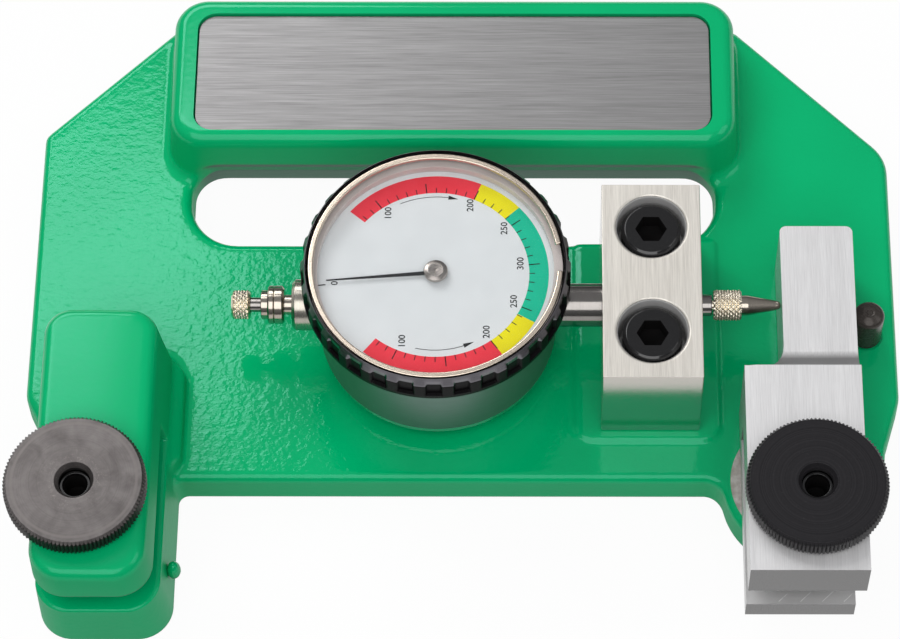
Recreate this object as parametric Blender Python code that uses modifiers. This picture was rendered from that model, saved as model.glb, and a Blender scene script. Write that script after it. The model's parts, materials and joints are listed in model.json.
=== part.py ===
"""Tension gauge for band saw blades, lying on its back. Metres, +Z up, +Y towards the handle.

The origin is on the flat back of the casting, under the stem's axis and midway along the handle.
Both jaws clamp the blade, which runs along X through their slots. A blade that stretches swings the
lever, and the lever's arm pushes the plunger of the dial gauge.
"""

import math

import bmesh
import bpy
from mathutils import Matrix, Vector

# Fits
SEAT = 0.0003           # gap between pieces that rest on or in each other
RUN = 0.00008           # radial gap of a turning or sliding fit
OVERRUN = 0.003         # how far a cutter reaches past what it cuts
FOOT_SHARE = 0.05
WELD = 0.00002
EDGE_BREAK = 0.0003     # chamfer on machined edges
FLAT_ANGLE = math.radians(0.5)
CUTTER_ANGLE = math.radians(2.3)

# Facets
LARGE_STEPS = 52
ROUND_STEPS = 32
SMALL_STEPS = 18
TINY_STEPS = 10
ARC_STEPS = 5
BEVEL_STEPS = 2

# Casting: plate
PLATE_THICK = 0.009
PLATE_LEFT = 0.0937
PLATE_RIGHT = 0.0988
PLATE_FRONT = 0.0352
PLATE_REAR = 0.0811
PLATE_SHOULDER_LEFT = 0.0522
PLATE_SHOULDER_RIGHT = 0.0471
PLATE_SHOULDER_RADIUS_LEFT = 0.003
PLATE_SHOULDER_RADIUS_RIGHT = 0.010
PLATE_FLANK_FRONT = 0.0150
PLATE_FLANK_RADIUS = 0.008
PLATE_EDGE_RADIUS = 0.0018

# Casting: handle, with its recess and the hand hole before it
HANDLE_WIDTH = 0.1306
HANDLE_FRONT = 0.0400
GRIP_FRONT = 0.0409
HANDLE_REAR = 0.0819
HANDLE_HEIGHT = 0.024
HANDLE_DRAFT = 0.0017
HANDLE_CORNER_RADIUS = 0.0075
HANDLE_EDGE_RADIUS = 0.0028
GRIP_LINE_HEIGHT = 0.0142
HOLE_WIDTH = 0.1184
HOLE_FRONT = 0.0235
HOLE_REAR = 0.0460
HOLE_CORNER_RADIUS = 0.0108
HOLE_REAR_RADIUS = 0.0070
PLAQUE_WIDTH = 0.1162
PLAQUE_DEPTH = 0.0304
PLAQUE_THICK = 0.0015
PLAQUE_FRONT = 0.0450
PLAQUE_CORNER_RADIUS = 0.004
PLAQUE_SINK = 0.0007

# Jaws: the same slot in the casting's jaw and in the lever's
JAW_HEIGHT = 0.033
SLOT_FLOOR = 0.0153
SLOT_HEIGHT = 0.0071
SLOT_REAR = -0.0285
CLAMP_X = 0.0776
CLAMP_Y = -0.0491

# Casting: left jaw
LEFT_JAW_OUTER = 0.0882
LEFT_JAW_INNER = 0.0594
LEFT_JAW_FRONT = 0.0692
LEFT_JAW_REAR = 0.0048
LEFT_JAW_CORNER_RADIUS = 0.0075
LEFT_JAW_REAR_RADIUS = 0.006
LEFT_JAW_EDGE_RADIUS = 0.0026
LEFT_JAW_DRAFTS = (0.0008, 0.0035, 0.0003, 0.0010)
JAW_STEP_HEIGHT = 0.0135
JAW_STEP_INNER = 0.0574
JAW_STEP_REAR = 0.0088
JAW_STEP_RADIUS = 0.003
JAW_STEP_DRAFT = 0.0008

# Casting: pivot lobe and the pad under the clamp block
PIVOT_X = 0.0766
PIVOT_Y = -0.0355
LOBE_RADIUS = 0.0172
LOBE_RISE = 0.0001
LOBE_EDGE_RADIUS = 0.0009
PAD_LEFT = 0.0275
PAD_RIGHT = 0.0590
PAD_FRONT = 0.0257
PAD_HEIGHT = 0.0009
PAD_RADIUS = 0.003

# Pivot
PIN_RADIUS = 0.004
PIN_SPIGOT_RADIUS = 0.003
BUSH_WALL = 0.002
THRUST_THICK = 0.0005
THRUST_RADIUS = 0.012
THRUST_GAP = 0.00015
PIVOT_SINK_RADIUS = 0.0085
PIVOT_SINK_DEPTH = 0.0040
RETAINER_RADIUS = 0.0072
RETAINER_THICK = 0.0011
RETAINER_SCREW_RADIUS = 0.002
RETAINER_HEAD_RADIUS = 0.0042
RETAINER_HEAD_HEIGHT = 0.0015
RETAINER_SCREW_LENGTH = 0.007
RETAINER_SOCKET = 0.0025

# Lever
LEVER_JAW_LEFT = 0.0633
LEVER_RIGHT = 0.0883
LEVER_FRONT = 0.0672
LEVER_JAW_REAR = 0.0194
ARM_LEFT = 0.0723
ARM_REAR = 0.0182
ARM_RISE = 0.003
ARM_FILLET = 0.006
ARM_PLAN_FILLET = 0.008
ARM_CORNER_RADIUS = 0.0015
LOWER_JAW_INSET = 0.0018

# Stop pin, upright beside the arm
STOP_RADIUS = 0.0034
STOP_TOP = 0.020
STOP_NOSE = 0.0012
STOP_SPIGOT_RADIUS = 0.0025
STOP_SPIGOT_LENGTH = 0.006
STOP_Y = 0.0005

# Thumb screws
KNOB_RADIUS = 0.015
KNOB_THICK = 0.0048
KNOB_TEETH = 60
KNOB_TOOTH_DEPTH = 0.0004
KNOB_CHAMFER = 0.0007
THREAD_RADIUS = 0.004
THREAD_CORE_RADIUS = 0.0033
THREAD_MOUTH_RADIUS = 0.0045
STUD_SINK = 0.0024
STUD_NECK_RADIUS = 0.0018
STUD_NECK_LENGTH = 0.0014
PRESSURE_PAD_RADIUS = 0.0039
PRESSURE_PAD_HEIGHT = 0.0026
PRESSURE_PAD_WEB = 0.001

# Stem clamp block and its cap screws
BLOCK_LEFT = 0.0330
BLOCK_WIDTH = 0.0215
BLOCK_DEPTH = 0.0474
BLOCK_RISE = 0.0117
STEM_HEIGHT = 0.024
SCREW_SPACING = 0.0256
SCREW_MIDDLE_Y = 0.0004
CAP_HEAD_RADIUS = 0.0065
CAP_HEAD_HEIGHT = 0.008
CAP_HEAD_CHAMFER = 0.0007
CAP_SHANK_RADIUS = 0.004
CAP_THREAD_DEPTH = 0.0075
CAP_SOCKET = 0.006
CAP_SOCKET_DEPTH = 0.004
CAP_SINK = 0.0012
COUNTERBORE_RADIUS = 0.0075
CLEARANCE_RADIUS = 0.0045
CLAMP_SLIT = 0.0015

# Dial gauge: case and back
DIAL_X = -0.0028
CASE_RADIUS = 0.026
CASE_DEPTH = 0.0106
CASE_BACK_THICK = 0.0016
CASE_HEADROOM = 0.0006
CASE_WALL = 0.0032
CASE_LEDGE = 0.0018
CASE_NECK_INSET = 0.0010
CASE_NECK_HEIGHT = 0.0014
BACK_SCREW_RADIUS = 0.0008
BACK_SCREW_HEAD = 0.0014
BACK_SCREW_LENGTH = 0.0045
BACK_SCREW_COUNT = 4

# Dial gauge: stem, guide and plunger, all along X at the stem's height
STEM_RADIUS = 0.00476
STEM_END = 0.0539
SPINDLE_RADIUS = 0.0024
RACK_LENGTH = 0.0096
SPINDLE_END = 0.0571
ROD_RADIUS = 0.0016
BOSS_RADIUS = 0.0056
BOSS_LENGTH = 0.0056
GUIDE_NECK_RADIUS = 0.0022
GUIDE_NECK_LENGTH = 0.00175
GUIDE_COLLAR_RADIUS = 0.0042
GUIDE_COLLAR_LENGTH = 0.0036
GUIDE_TIP_RADIUS = 0.00315
GUIDE_TIP_LENGTH = 0.0016
LIFT_CAP_GAP = 0.0022
LIFT_CAP_LENGTH = 0.0041
LIFT_CAP_RADIUS = 0.0032
CONTACT_COLLAR_LENGTH = 0.0062
CONTACT_COLLAR_RADIUS = 0.0034
CONTACT_CONE_RADIUS = 0.00225
CONTACT_NOSE_RADIUS = 0.0010
CONTACT_GAP = 0.0001
CONTACT_THREAD_RADIUS = 0.0012
CONTACT_THREAD_LENGTH = 0.004
SPRING_RADIUS = 0.0026
SPRING_WIRE_RADIUS = 0.00018
SPRING_TURNS = 5

# Movement
RACK_PITCH_RADIUS = 0.0015915
RACK_TEETH = 16
WHEEL_CLEARANCE = 0.00165
WHEEL_TEETH = 100
TAKE_UP_TEETH = 60
PINION_TEETH = 10
TOOTH_ADDENDUM_SHARE = 0.75
TOOTH_DEDENDUM_SHARE = 1.1
TOOTH_TIP_SHARE = 0.20
TOOTH_ROOT_SHARE = 0.46
WHEEL_THICK = 0.0008
WHEEL_RISE = 0.0023
PINION_THICK = 0.0014
RACK_PINION_HEIGHT = 0.0032
ARBOR_RADIUS = 0.0006
MOVEMENT_PLATE_THICK = 0.001
MOVEMENT_RISE = 0.0030
MOVEMENT_GAP = 0.0056
PILLAR_RADIUS = 0.0013
PILLAR_INSET = 0.0038
PILLAR_SPREAD = math.radians(35)
HAIRSPRING_WIRE = 0.00012
HAIRSPRING_TURNS = 4
HAIRSPRING_PITCH = 0.0007
HAIRSPRING_RISE = 0.0041

# Bezel, crystal and face
BEZEL_OVERHANG = 0.003
BEZEL_GAP = 0.0004
BEZEL_HEIGHT = 0.0074
BEZEL_LOBES = 40
BEZEL_LOBE_DEPTH = 0.0006
BEZEL_LOBE_HEIGHT = 0.0056
BEZEL_RIM_INSET = 0.0002
BEZEL_RIM_CHAMFER = 0.0006
BEZEL_RIM_WALL = 0.0011
CRYSTAL_LEDGE = 0.0018
FACE_LEDGE = 0.0020
LEDGE_THICK = 0.0005
FACE_RISE = 0.00244
FACE_THICK = 0.0005
FACE_HOLE_RADIUS = 0.0012
CRYSTAL_THICK = 0.0012
RING_THICK = 0.0009
RING_WIDTH = 0.0013
RING_GAP_ANGLE = math.radians(13.0)
RING_GAP_PLACE = math.radians(3.5)

# Pointer
POINTER_REACH = 0.0003
POINTER_ROOT_WIDTH = 0.0009
POINTER_TIP_WIDTH = 0.00026
POINTER_EYE_RADIUS = 0.0016
POINTER_THICK = 0.0002
POINTER_RISE = 0.0006
POINTER_REST = math.radians(184.8)
HUB_RADIUS = 0.00255
HUB_HEIGHT = 0.0009

GREEN = (0.0, 0.42, 0.155)
BARE_ALUMINIUM = (0.72, 0.71, 0.70)
BRUSHED_STEEL = (0.46, 0.46, 0.47)
BRIGHT_STEEL = (0.62, 0.60, 0.57)
NICKEL = (0.80, 0.72, 0.58)
BLACK_OXIDE = (0.012, 0.012, 0.013)
WORN_OXIDE = (0.16, 0.145, 0.14)
BRONZE = (0.55, 0.36, 0.14)
BLACK_PLASTIC = (0.02, 0.02, 0.022)
FACE_WHITE = (0.74, 0.77, 0.79)
CLEAR = (0.9, 0.95, 0.97)


def start_scene():
    """An empty scene with one collection for the parts and one for cutters."""
    for obj in list(bpy.data.objects):
        bpy.data.objects.remove(obj, do_unlink=True)
    found = {}
    for name in ("dial_tension_gauge", "cutters"):
        found[name] = bpy.data.collections.new(name)
        bpy.context.scene.collection.children.link(found[name])
    found["cutters"].hide_render = True
    return found["dial_tension_gauge"], found["cutters"]


PARTS, CUTTERS = start_scene()


def finish(name, colour, rough, metal):
    material = bpy.data.materials.new(name)
    material.use_nodes = True
    shader = material.node_tree.nodes["Principled BSDF"]
    shader.inputs["Base Color"].default_value = (*colour, 1.0)
    shader.inputs["Roughness"].default_value = rough
    shader.inputs["Metallic"].default_value = metal
    return material


FINISHES = {
    "paint": finish("green_paint", GREEN, 0.25, 0.0),
    "aluminium": finish("bare_aluminium", BARE_ALUMINIUM, 0.38, 1.0),
    "plaque": finish("brushed_stainless", BRUSHED_STEEL, 0.42, 1.0),
    "steel": finish("bright_steel", BRIGHT_STEEL, 0.2, 1.0),
    "nickel": finish("nickel_plate", NICKEL, 0.25, 1.0),
    "black": finish("black_oxide", BLACK_OXIDE, 0.35, 0.6),
    "worn": finish("worn_oxide", WORN_OXIDE, 0.45, 0.7),
    "bronze": finish("bronze", BRONZE, 0.4, 1.0),
    "plastic": finish("black_plastic", BLACK_PLASTIC, 0.45, 0.0),
    "face": finish("dial_face", FACE_WHITE, 0.6, 0.0),
    "clear": finish("crystal", CLEAR, 0.05, 0.0),
}


def place(obj, look):
    """Puts an object among the parts with its finish, or among the cutters if it has none."""
    if look:
        obj.data.materials.clear()
        obj.data.materials.append(FINISHES[look])
        PARTS.objects.link(obj)
    else:
        obj.hide_render = True
        obj.display_type = "WIRE"
        CUTTERS.objects.link(obj)
    return obj


def smooth(obj):
    """Smooth shading with sharp edges kept."""
    obj.data.shade_smooth()
    obj.data.set_sharp_from_angle(angle=math.radians(35))
    return obj


def turned(name, profile, look, at=(0, 0, 0), steps=ROUND_STEPS, along_x=False, closed=False):
    """A profile of (radius, height) points, run top to bottom, turned about its own axis.

    A cutter starts at another angle, so that its facets don't meet those of what it cuts.
    """
    mesh = bpy.data.meshes.new(name)
    start = 0 if look else CUTTER_ANGLE
    points = [(radius * math.cos(start), radius * math.sin(start), height) for radius, height in profile]
    edges = [(i, i + 1) for i in range(len(points) - 1)]
    if closed:
        edges.append((len(points) - 1, 0))
    mesh.from_pydata(points, edges, [])
    obj = bpy.data.objects.new(name, mesh)
    obj.location = at
    if along_x:
        obj.rotation_euler.y = math.pi / 2
    screw = obj.modifiers.new("turn", "SCREW")
    screw.steps = steps
    screw.render_steps = steps
    screw.use_merge_vertices = True
    screw.merge_threshold = WELD
    screw.use_smooth_shade = True
    if not closed:
        caps = obj.modifiers.new("plain_caps", "DECIMATE")
        caps.decimate_type = "DISSOLVE"
        caps.angle_limit = FLAT_ANGLE
    return place(obj, look)


def cylinder(name, radius, low, high, look, at=(0, 0), steps=ROUND_STEPS, chamfer=0.0):
    """An upright round bar from one height to another, with its top edge chamfered."""
    profile = [(0, high - low), (radius - chamfer, high - low), (radius, high - low - chamfer), (radius, 0), (0, 0)]
    if not chamfer:
        profile.pop(1)
    return turned(name, profile, look, (*at, low), steps)


def bar_x(name, radius, start, end, look, steps=SMALL_STEPS, y=0.0):
    """A round bar along X at the stem's height."""
    profile = [(0, end - start), (radius, end - start), (radius, 0), (0, 0)]
    return turned(name, profile, look, (start, y, STEM_HEIGHT), steps, along_x=True)


def ring(name, outer, inner, low, high, look, at=(0, 0), steps=ROUND_STEPS):
    """An upright flat ring or tube."""
    profile = [(inner, high - low), (outer, high - low), (outer, 0), (inner, 0)]
    return turned(name, profile, look, (*at, low), steps, closed=True)


def rounded_outline(corners, steps=ARC_STEPS):
    """Corner points (x, y, radius) as one run of points, with an arc at each corner that has a radius."""
    run = []
    for i, (x, y, radius) in enumerate(corners):
        here = Vector((x, y))
        back = (Vector(corners[i - 1][:2]) - here).normalized()
        on = (Vector(corners[(i + 1) % len(corners)][:2]) - here).normalized()
        if not radius:
            run.append(tuple(here))
            continue
        half = back.angle(on) / 2
        centre = here + (back + on).normalized() * radius / math.sin(half)
        start = here + back * radius / math.tan(half) - centre
        first = math.atan2(start.y, start.x)
        turn = math.copysign(math.pi - 2 * half, -back.x * on.y + back.y * on.x)
        for k in range(steps + 1):
            angle = first + turn * k / steps
            run.append((centre.x + radius * math.cos(angle), centre.y + radius * math.sin(angle)))
    return run


def rectangle(left, right, front, rear, radius=0.0):
    """A rectangle's corners, all with one radius."""
    return [(left, front, radius), (right, front, radius), (right, rear, radius), (left, rear, radius)]


def circle_outline(radius, steps, centre=(0, 0)):
    turns = [2 * math.pi * k / steps for k in range(steps)]
    return [(centre[0] + radius * math.cos(a), centre[1] + radius * math.sin(a)) for a in turns]


def solid_from_curve(guide, name):
    """A curve object turned into a mesh with its caps welded on. The curve goes, its place stays."""
    bpy.context.scene.collection.objects.link(guide)
    bpy.context.view_layer.update()
    mesh = bpy.data.meshes.new_from_object(guide.evaluated_get(bpy.context.evaluated_depsgraph_get()))
    matrix = guide.matrix_world.copy()
    bpy.data.objects.remove(guide)
    work = bmesh.new()
    work.from_mesh(mesh)
    bmesh.ops.remove_doubles(work, verts=work.verts, dist=WELD)
    bmesh.ops.dissolve_limit(work, angle_limit=FLAT_ANGLE, verts=work.verts, edges=work.edges)
    bmesh.ops.recalc_face_normals(work, faces=work.faces)
    work.to_mesh(mesh)
    work.free()
    obj = bpy.data.objects.new(name, mesh)
    obj.matrix_world = matrix
    return obj


def prism(name, outline, low, high, look, holes=(), frame=None):
    """A flat outline of the given thickness. The frame turns its plane to where it belongs."""
    curve = bpy.data.curves.new(name, "CURVE")
    curve.dimensions = "2D"
    curve.fill_mode = "BOTH"
    curve.extrude = (high - low) / 2
    for run in (outline, *holes):
        spline = curve.splines.new("POLY")
        spline.points.add(len(run) - 1)
        for point, (x, y) in zip(spline.points, run):
            point.co = (x, y, 0, 1)
        spline.use_cyclic_u = True
    guide = bpy.data.objects.new(name + "_outline", curve)
    guide.matrix_world = (frame or Matrix()) @ Matrix.Translation((0, 0, (low + high) / 2))
    return place(solid_from_curve(guide, name), look)


SIDE_FRAME = Matrix(((0, 0, 1, 0), (1, 0, 0, 0), (0, 1, 0, 0), (0, 0, 0, 1)))


def box(name, low, high, look):
    """A box between two opposite corners, from a cube primitive."""
    mesh = bpy.data.meshes.new(name)
    work = bmesh.new()
    bmesh.ops.create_cube(work, size=1.0)
    size = [b - a for a, b in zip(low, high)]
    bmesh.ops.scale(work, vec=size, verts=work.verts)
    work.to_mesh(mesh)
    work.free()
    obj = bpy.data.objects.new(name, mesh)
    obj.location = [(a + b) / 2 for a, b in zip(low, high)]
    return place(obj, look)


def loft(name, low_outline, high_outline, low, high, look):
    """An upright solid between two outlines that have the same number of points."""
    obj = prism(name, low_outline, low, high, look)
    top = max(v.co.z for v in obj.data.vertices)
    for vertex in obj.data.vertices:
        if vertex.co.z > top - WELD:
            away = [math.dist(vertex.co.xy, point) for point in low_outline]
            vertex.co.xy = high_outline[away.index(min(away))]
    return obj


def bevel(obj, width, segments=1):
    """Rounds or chamfers the edges over 40 degrees, facets of round corners left alone."""
    modifier = obj.modifiers.new("edges", "BEVEL")
    modifier.width = width
    modifier.segments = segments
    modifier.limit_method = "ANGLE"
    modifier.angle_limit = math.radians(40)
    return obj


def combine(obj, others, operation):
    """One Boolean with a whole group of solids, which is more exact than one after another."""
    group = bpy.data.collections.new(f"{obj.name}_{operation.lower()}")
    CUTTERS.children.link(group)
    for other in others:
        CUTTERS.objects.unlink(other)
        group.objects.link(other)
    modifier = obj.modifiers.new(group.name, "BOOLEAN")
    modifier.operation = operation
    modifier.solver = "EXACT"
    modifier.operand_type = "COLLECTION"
    modifier.collection = group
    return obj


def cut(obj, *cutters):
    return combine(obj, cutters, "DIFFERENCE")


def join(obj, *others):
    return combine(obj, others, "UNION")


def carry(name, at, objects):
    """Parents objects to an empty on their joint's axis, where they stay in place."""
    axis = bpy.data.objects.new(name, None)
    axis.location = at
    axis.empty_display_size = PIN_RADIUS
    PARTS.objects.link(axis)
    for obj in objects:
        obj.parent = axis
        obj.matrix_parent_inverse = Matrix.Translation(at).inverted()
    return axis


def hexagon(across, centre=(0, 0)):
    return circle_outline(across / 2 / math.cos(math.pi / 6), 6, centre)


# Levels and places that follow from the sizes above
ARM_TOP = STEM_HEIGHT + ARM_RISE
BLOCK_TOP = STEM_HEIGHT + BLOCK_RISE
CASE_BOTTOM = STEM_HEIGHT - CASE_DEPTH
CASE_INNER = CASE_RADIUS - CASE_WALL
LOWER_PLATE_LEVEL = STEM_HEIGHT + MOVEMENT_RISE
MOVEMENT_FLOOR = LOWER_PLATE_LEVEL + MOVEMENT_PLATE_THICK
UPPER_PLATE_LEVEL = MOVEMENT_FLOOR + MOVEMENT_GAP
WHEEL_LEVEL = MOVEMENT_FLOOR + WHEEL_RISE
HAIRSPRING_LEVEL = MOVEMENT_FLOOR + HAIRSPRING_RISE
WHEEL_MODULE = (CASE_INNER - WHEEL_CLEARANCE) / (WHEEL_TEETH + PINION_TEETH / 2 + TOOTH_ADDENDUM_SHARE)
PILLAR_CIRCLE = CASE_INNER - PILLAR_INSET
BOSS_END = DIAL_X - CASE_RADIUS - BOSS_LENGTH
CASE_TOP = UPPER_PLATE_LEVEL + MOVEMENT_PLATE_THICK + CASE_HEADROOM
CASE_NECK_RADIUS = CASE_RADIUS - CASE_NECK_INSET
BEZEL_RADIUS = CASE_RADIUS + BEZEL_OVERHANG
BEZEL_BOTTOM = CASE_TOP + BEZEL_GAP
BEZEL_TOP = BEZEL_BOTTOM + BEZEL_HEIGHT
BEZEL_LOBE_TOP = BEZEL_BOTTOM + BEZEL_LOBE_HEIGHT
BEZEL_RIM_RADIUS = BEZEL_RADIUS - BEZEL_RIM_INSET
BEZEL_RIM_INNER = BEZEL_RIM_RADIUS - BEZEL_RIM_WALL
BEZEL_SEAT_INNER = BEZEL_RIM_INNER - CRYSTAL_LEDGE
BEZEL_FACE_LEDGE = BEZEL_SEAT_INNER - FACE_LEDGE
FACE_TOP = BEZEL_BOTTOM + FACE_RISE
POINTER_LENGTH = BEZEL_FACE_LEDGE - POINTER_REACH
PAD_TOP = PLATE_THICK + PAD_HEIGHT
LOBE_TOP = PLATE_THICK + LOBE_RISE
SLOT_ROOF = SLOT_FLOOR + SLOT_HEIGHT
LEVER_BOTTOM = LOBE_TOP + THRUST_THICK + 2 * THRUST_GAP
BLOCK_BOTTOM = PAD_TOP + SEAT
BLOCK_X = BLOCK_LEFT + BLOCK_WIDTH / 2
SCREW_YS = (SCREW_MIDDLE_Y + SCREW_SPACING / 2, SCREW_MIDDLE_Y - SCREW_SPACING / 2)
CAP_HEAD_TOP = BLOCK_TOP - CAP_SINK
CAP_HEAD_SEAT = CAP_HEAD_TOP - CAP_HEAD_HEIGHT
CAP_END = PLATE_THICK - CAP_THREAD_DEPTH
STOP_X = LEVER_RIGHT + SEAT + STOP_RADIUS
KNOB_BOTTOM = JAW_HEIGHT + SEAT
KNOB_TOP = KNOB_BOTTOM + KNOB_THICK
BUSH_RADIUS = PIN_RADIUS + RUN + BUSH_WALL
DIAL = (DIAL_X, 0)
RIGHT_CLAMP = (CLAMP_X, CLAMP_Y)
LEFT_CLAMP = (-CLAMP_X, CLAMP_Y)
PIVOT = (PIVOT_X, PIVOT_Y)
CASTING_FOOT = -OVERRUN


def drafted(name, sides, radii, height, drafts, edge):
    """A rounded block of the casting, narrower at its top.

    Sides and drafts are for left, right, front and rear, radii for the corners from the left front one
    round. Each block starts at a depth of its own below the back, where the casting is cut flat.
    """
    foot = CASTING_FOOT - height * FOOT_SHARE
    outlines = []
    for share in (foot / height, 1):
        left, right, front, rear = [side + way * draft * share for side, way, draft in
                                    zip(sides, (1, -1, 1, -1), drafts)]
        corners = [(left, front), (right, front), (right, rear), (left, rear)]
        outlines.append(rounded_outline([(*corner, radius) for corner, radius in zip(corners, radii)]))
    return bevel(loft(name, *outlines, foot, height, None), edge, BEVEL_STEPS)


def plate_outline():
    """The plate, from its left front corner round. The rear corners are cut off at 45 degrees."""
    slope_left = PLATE_REAR - PLATE_SHOULDER_LEFT
    slope_right = PLATE_REAR - PLATE_SHOULDER_RIGHT
    cut_back = PLATE_FRONT - PLATE_FLANK_FRONT
    return rounded_outline([
        (-PLATE_LEFT + cut_back / 2, -PLATE_FRONT, 0),
        (PIVOT_X + LOBE_RADIUS - LOBE_EDGE_RADIUS, -PLATE_FRONT, 0),
        (PLATE_RIGHT, -PLATE_FLANK_FRONT, PLATE_FLANK_RADIUS),
        (PLATE_RIGHT, PLATE_SHOULDER_RIGHT, PLATE_SHOULDER_RADIUS_RIGHT),
        (PLATE_RIGHT - slope_right, PLATE_REAR, 0),
        (-PLATE_LEFT + slope_left, PLATE_REAR, 0),
        (-PLATE_LEFT, PLATE_SHOULDER_LEFT, PLATE_SHOULDER_RADIUS_LEFT),
        (-PLATE_LEFT, -PLATE_FLANK_FRONT, PLATE_SHOULDER_RADIUS_LEFT),
    ])


def hand_hole():
    """Upright at the front. At the rear the grip leans over it, up to the grip line."""
    low = CASTING_FOOT - OVERRUN
    lean = (HOLE_REAR - GRIP_FRONT) / GRIP_LINE_HEIGHT
    outlines = []
    for rear, radius in ((HOLE_REAR - lean * low, HOLE_REAR_RADIUS), (GRIP_FRONT, HOLE_REAR_RADIUS / 2)):
        corners = rectangle(-HOLE_WIDTH / 2, HOLE_WIDTH / 2, HOLE_FRONT, rear, HOLE_CORNER_RADIUS)
        corners[2:] = [(x, y, radius) for x, y, _ in corners[2:]]
        outlines.append(rounded_outline(corners))
    return loft("hand_hole", *outlines, low, GRIP_LINE_HEIGHT, None)


def left_jaw():
    sides = (-LEFT_JAW_OUTER, -LEFT_JAW_INNER, -LEFT_JAW_FRONT, -LEFT_JAW_REAR)
    radii = (LEFT_JAW_CORNER_RADIUS, LEFT_JAW_CORNER_RADIUS, LEFT_JAW_REAR_RADIUS, LEFT_JAW_REAR_RADIUS)
    return drafted("left_jaw", sides, radii, JAW_HEIGHT, LEFT_JAW_DRAFTS, LEFT_JAW_EDGE_RADIUS)


def blade_slot(name, left, right):
    """The slot for the blade, open to the front and to both sides."""
    front = -LEFT_JAW_FRONT - OVERRUN
    return box(name, (left - OVERRUN, front, SLOT_FLOOR), (right + OVERRUN, SLOT_REAR, SLOT_ROOF), None)


def clamp_hole(name, at):
    return cylinder(name, THREAD_RADIUS + SEAT, SLOT_ROOF - SEAT, JAW_HEIGHT + OVERRUN, None, at, SMALL_STEPS)


def frame_casting():
    casting = prism("frame_casting", plate_outline(), CASTING_FOOT, PLATE_THICK, "paint")
    bevel(casting, PLATE_EDGE_RADIUS, BEVEL_STEPS)
    handle = drafted("handle", (-HANDLE_WIDTH / 2, HANDLE_WIDTH / 2, HANDLE_FRONT, HANDLE_REAR),
                     [HANDLE_CORNER_RADIUS] * 4, HANDLE_HEIGHT, [HANDLE_DRAFT] * 4, HANDLE_EDGE_RADIUS)
    step = (-LEFT_JAW_OUTER + LEFT_JAW_CORNER_RADIUS, -JAW_STEP_INNER, -PLATE_FRONT + PLATE_EDGE_RADIUS,
            -JAW_STEP_REAR)
    jaw_step = drafted("jaw_step", step, [JAW_STEP_RADIUS] * 4, JAW_STEP_HEIGHT, [JAW_STEP_DRAFT] * 4,
                       PLATE_EDGE_RADIUS)
    lobe = cylinder("lobe", LOBE_RADIUS, CASTING_FOOT - SEAT, LOBE_TOP, None, PIVOT)
    bevel(lobe, LOBE_EDGE_RADIUS, 2)
    pad_outline = rounded_outline(rectangle(PAD_LEFT, PAD_RIGHT, -PAD_FRONT, HOLE_FRONT + SEAT, PAD_RADIUS))
    pad = prism("block_pad", pad_outline, PLATE_THICK - PAD_HEIGHT, PAD_TOP, None)
    join(casting, handle, jaw_step, left_jaw(), lobe, pad)

    reach = PLATE_RIGHT + LEFT_JAW_FRONT
    depth = 2 * (CASTING_FOOT - JAW_HEIGHT * FOOT_SHARE)
    flat_back = box("flat_back", (-reach, -reach, depth), (reach, reach, 0), None)
    recess = rectangle(-PLAQUE_WIDTH / 2 - SEAT, PLAQUE_WIDTH / 2 + SEAT, PLAQUE_FRONT - SEAT,
                       PLAQUE_FRONT + PLAQUE_DEPTH + SEAT, PLAQUE_CORNER_RADIUS + SEAT)
    recess_floor = HANDLE_HEIGHT - PLAQUE_SINK - PLAQUE_THICK - SEAT
    plaque_recess = prism("plaque_recess", rounded_outline(recess), recess_floor, HANDLE_HEIGHT + OVERRUN, None)
    slot = blade_slot("left_blade_slot", -LEFT_JAW_OUTER - OVERRUN, -LEFT_JAW_INNER)
    tapped_holes = [cylinder(f"tapped_hole_{i}", CAP_SHANK_RADIUS + SEAT, CAP_END - SEAT, PAD_TOP + OVERRUN, None,
                             (BLOCK_X, y), SMALL_STEPS) for i, y in enumerate(SCREW_YS)]
    bore = cylinder("pivot_bore", BUSH_RADIUS + SEAT, -OVERRUN, PLATE_THICK + OVERRUN, None, PIVOT, SMALL_STEPS)
    sink = cylinder("pivot_sink", PIVOT_SINK_RADIUS, -OVERRUN, PIVOT_SINK_DEPTH, None, PIVOT)
    spigot_hole = cylinder("stop_pin_hole", STOP_SPIGOT_RADIUS + SEAT, PLATE_THICK - STOP_SPIGOT_LENGTH,
                           PLATE_THICK + OVERRUN, None, (STOP_X, STOP_Y), SMALL_STEPS)
    cut(casting, flat_back, hand_hole(), plaque_recess, slot, clamp_hole("left_clamp_hole", LEFT_CLAMP),
        *tapped_holes, bore, sink, spigot_hole)
    return smooth(casting)


def name_plate():
    corners = rectangle(-PLAQUE_WIDTH / 2, PLAQUE_WIDTH / 2, PLAQUE_FRONT, PLAQUE_FRONT + PLAQUE_DEPTH,
                        PLAQUE_CORNER_RADIUS)
    top = HANDLE_HEIGHT - PLAQUE_SINK
    return prism("name_plate", rounded_outline(corners), top - PLAQUE_THICK, top, "plaque")


def stop_pin():
    """A pin with a rounded nose and a thinner spigot, which is pressed into the plate."""
    top = STOP_TOP - PLATE_THICK
    nose = [(STOP_RADIUS - STOP_NOSE + STOP_NOSE * math.sin(a), top - STOP_NOSE + STOP_NOSE * math.cos(a))
            for a in (math.pi / 2 * k / BEVEL_STEPS for k in range(BEVEL_STEPS + 1))]
    profile = [(0, top), *nose, (STOP_RADIUS, SEAT), (STOP_SPIGOT_RADIUS, SEAT),
               (STOP_SPIGOT_RADIUS, SEAT - STOP_SPIGOT_LENGTH), (0, SEAT - STOP_SPIGOT_LENGTH)]
    return turned("stop_pin", profile, "black", (STOP_X, STOP_Y, PLATE_THICK), SMALL_STEPS)


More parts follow.
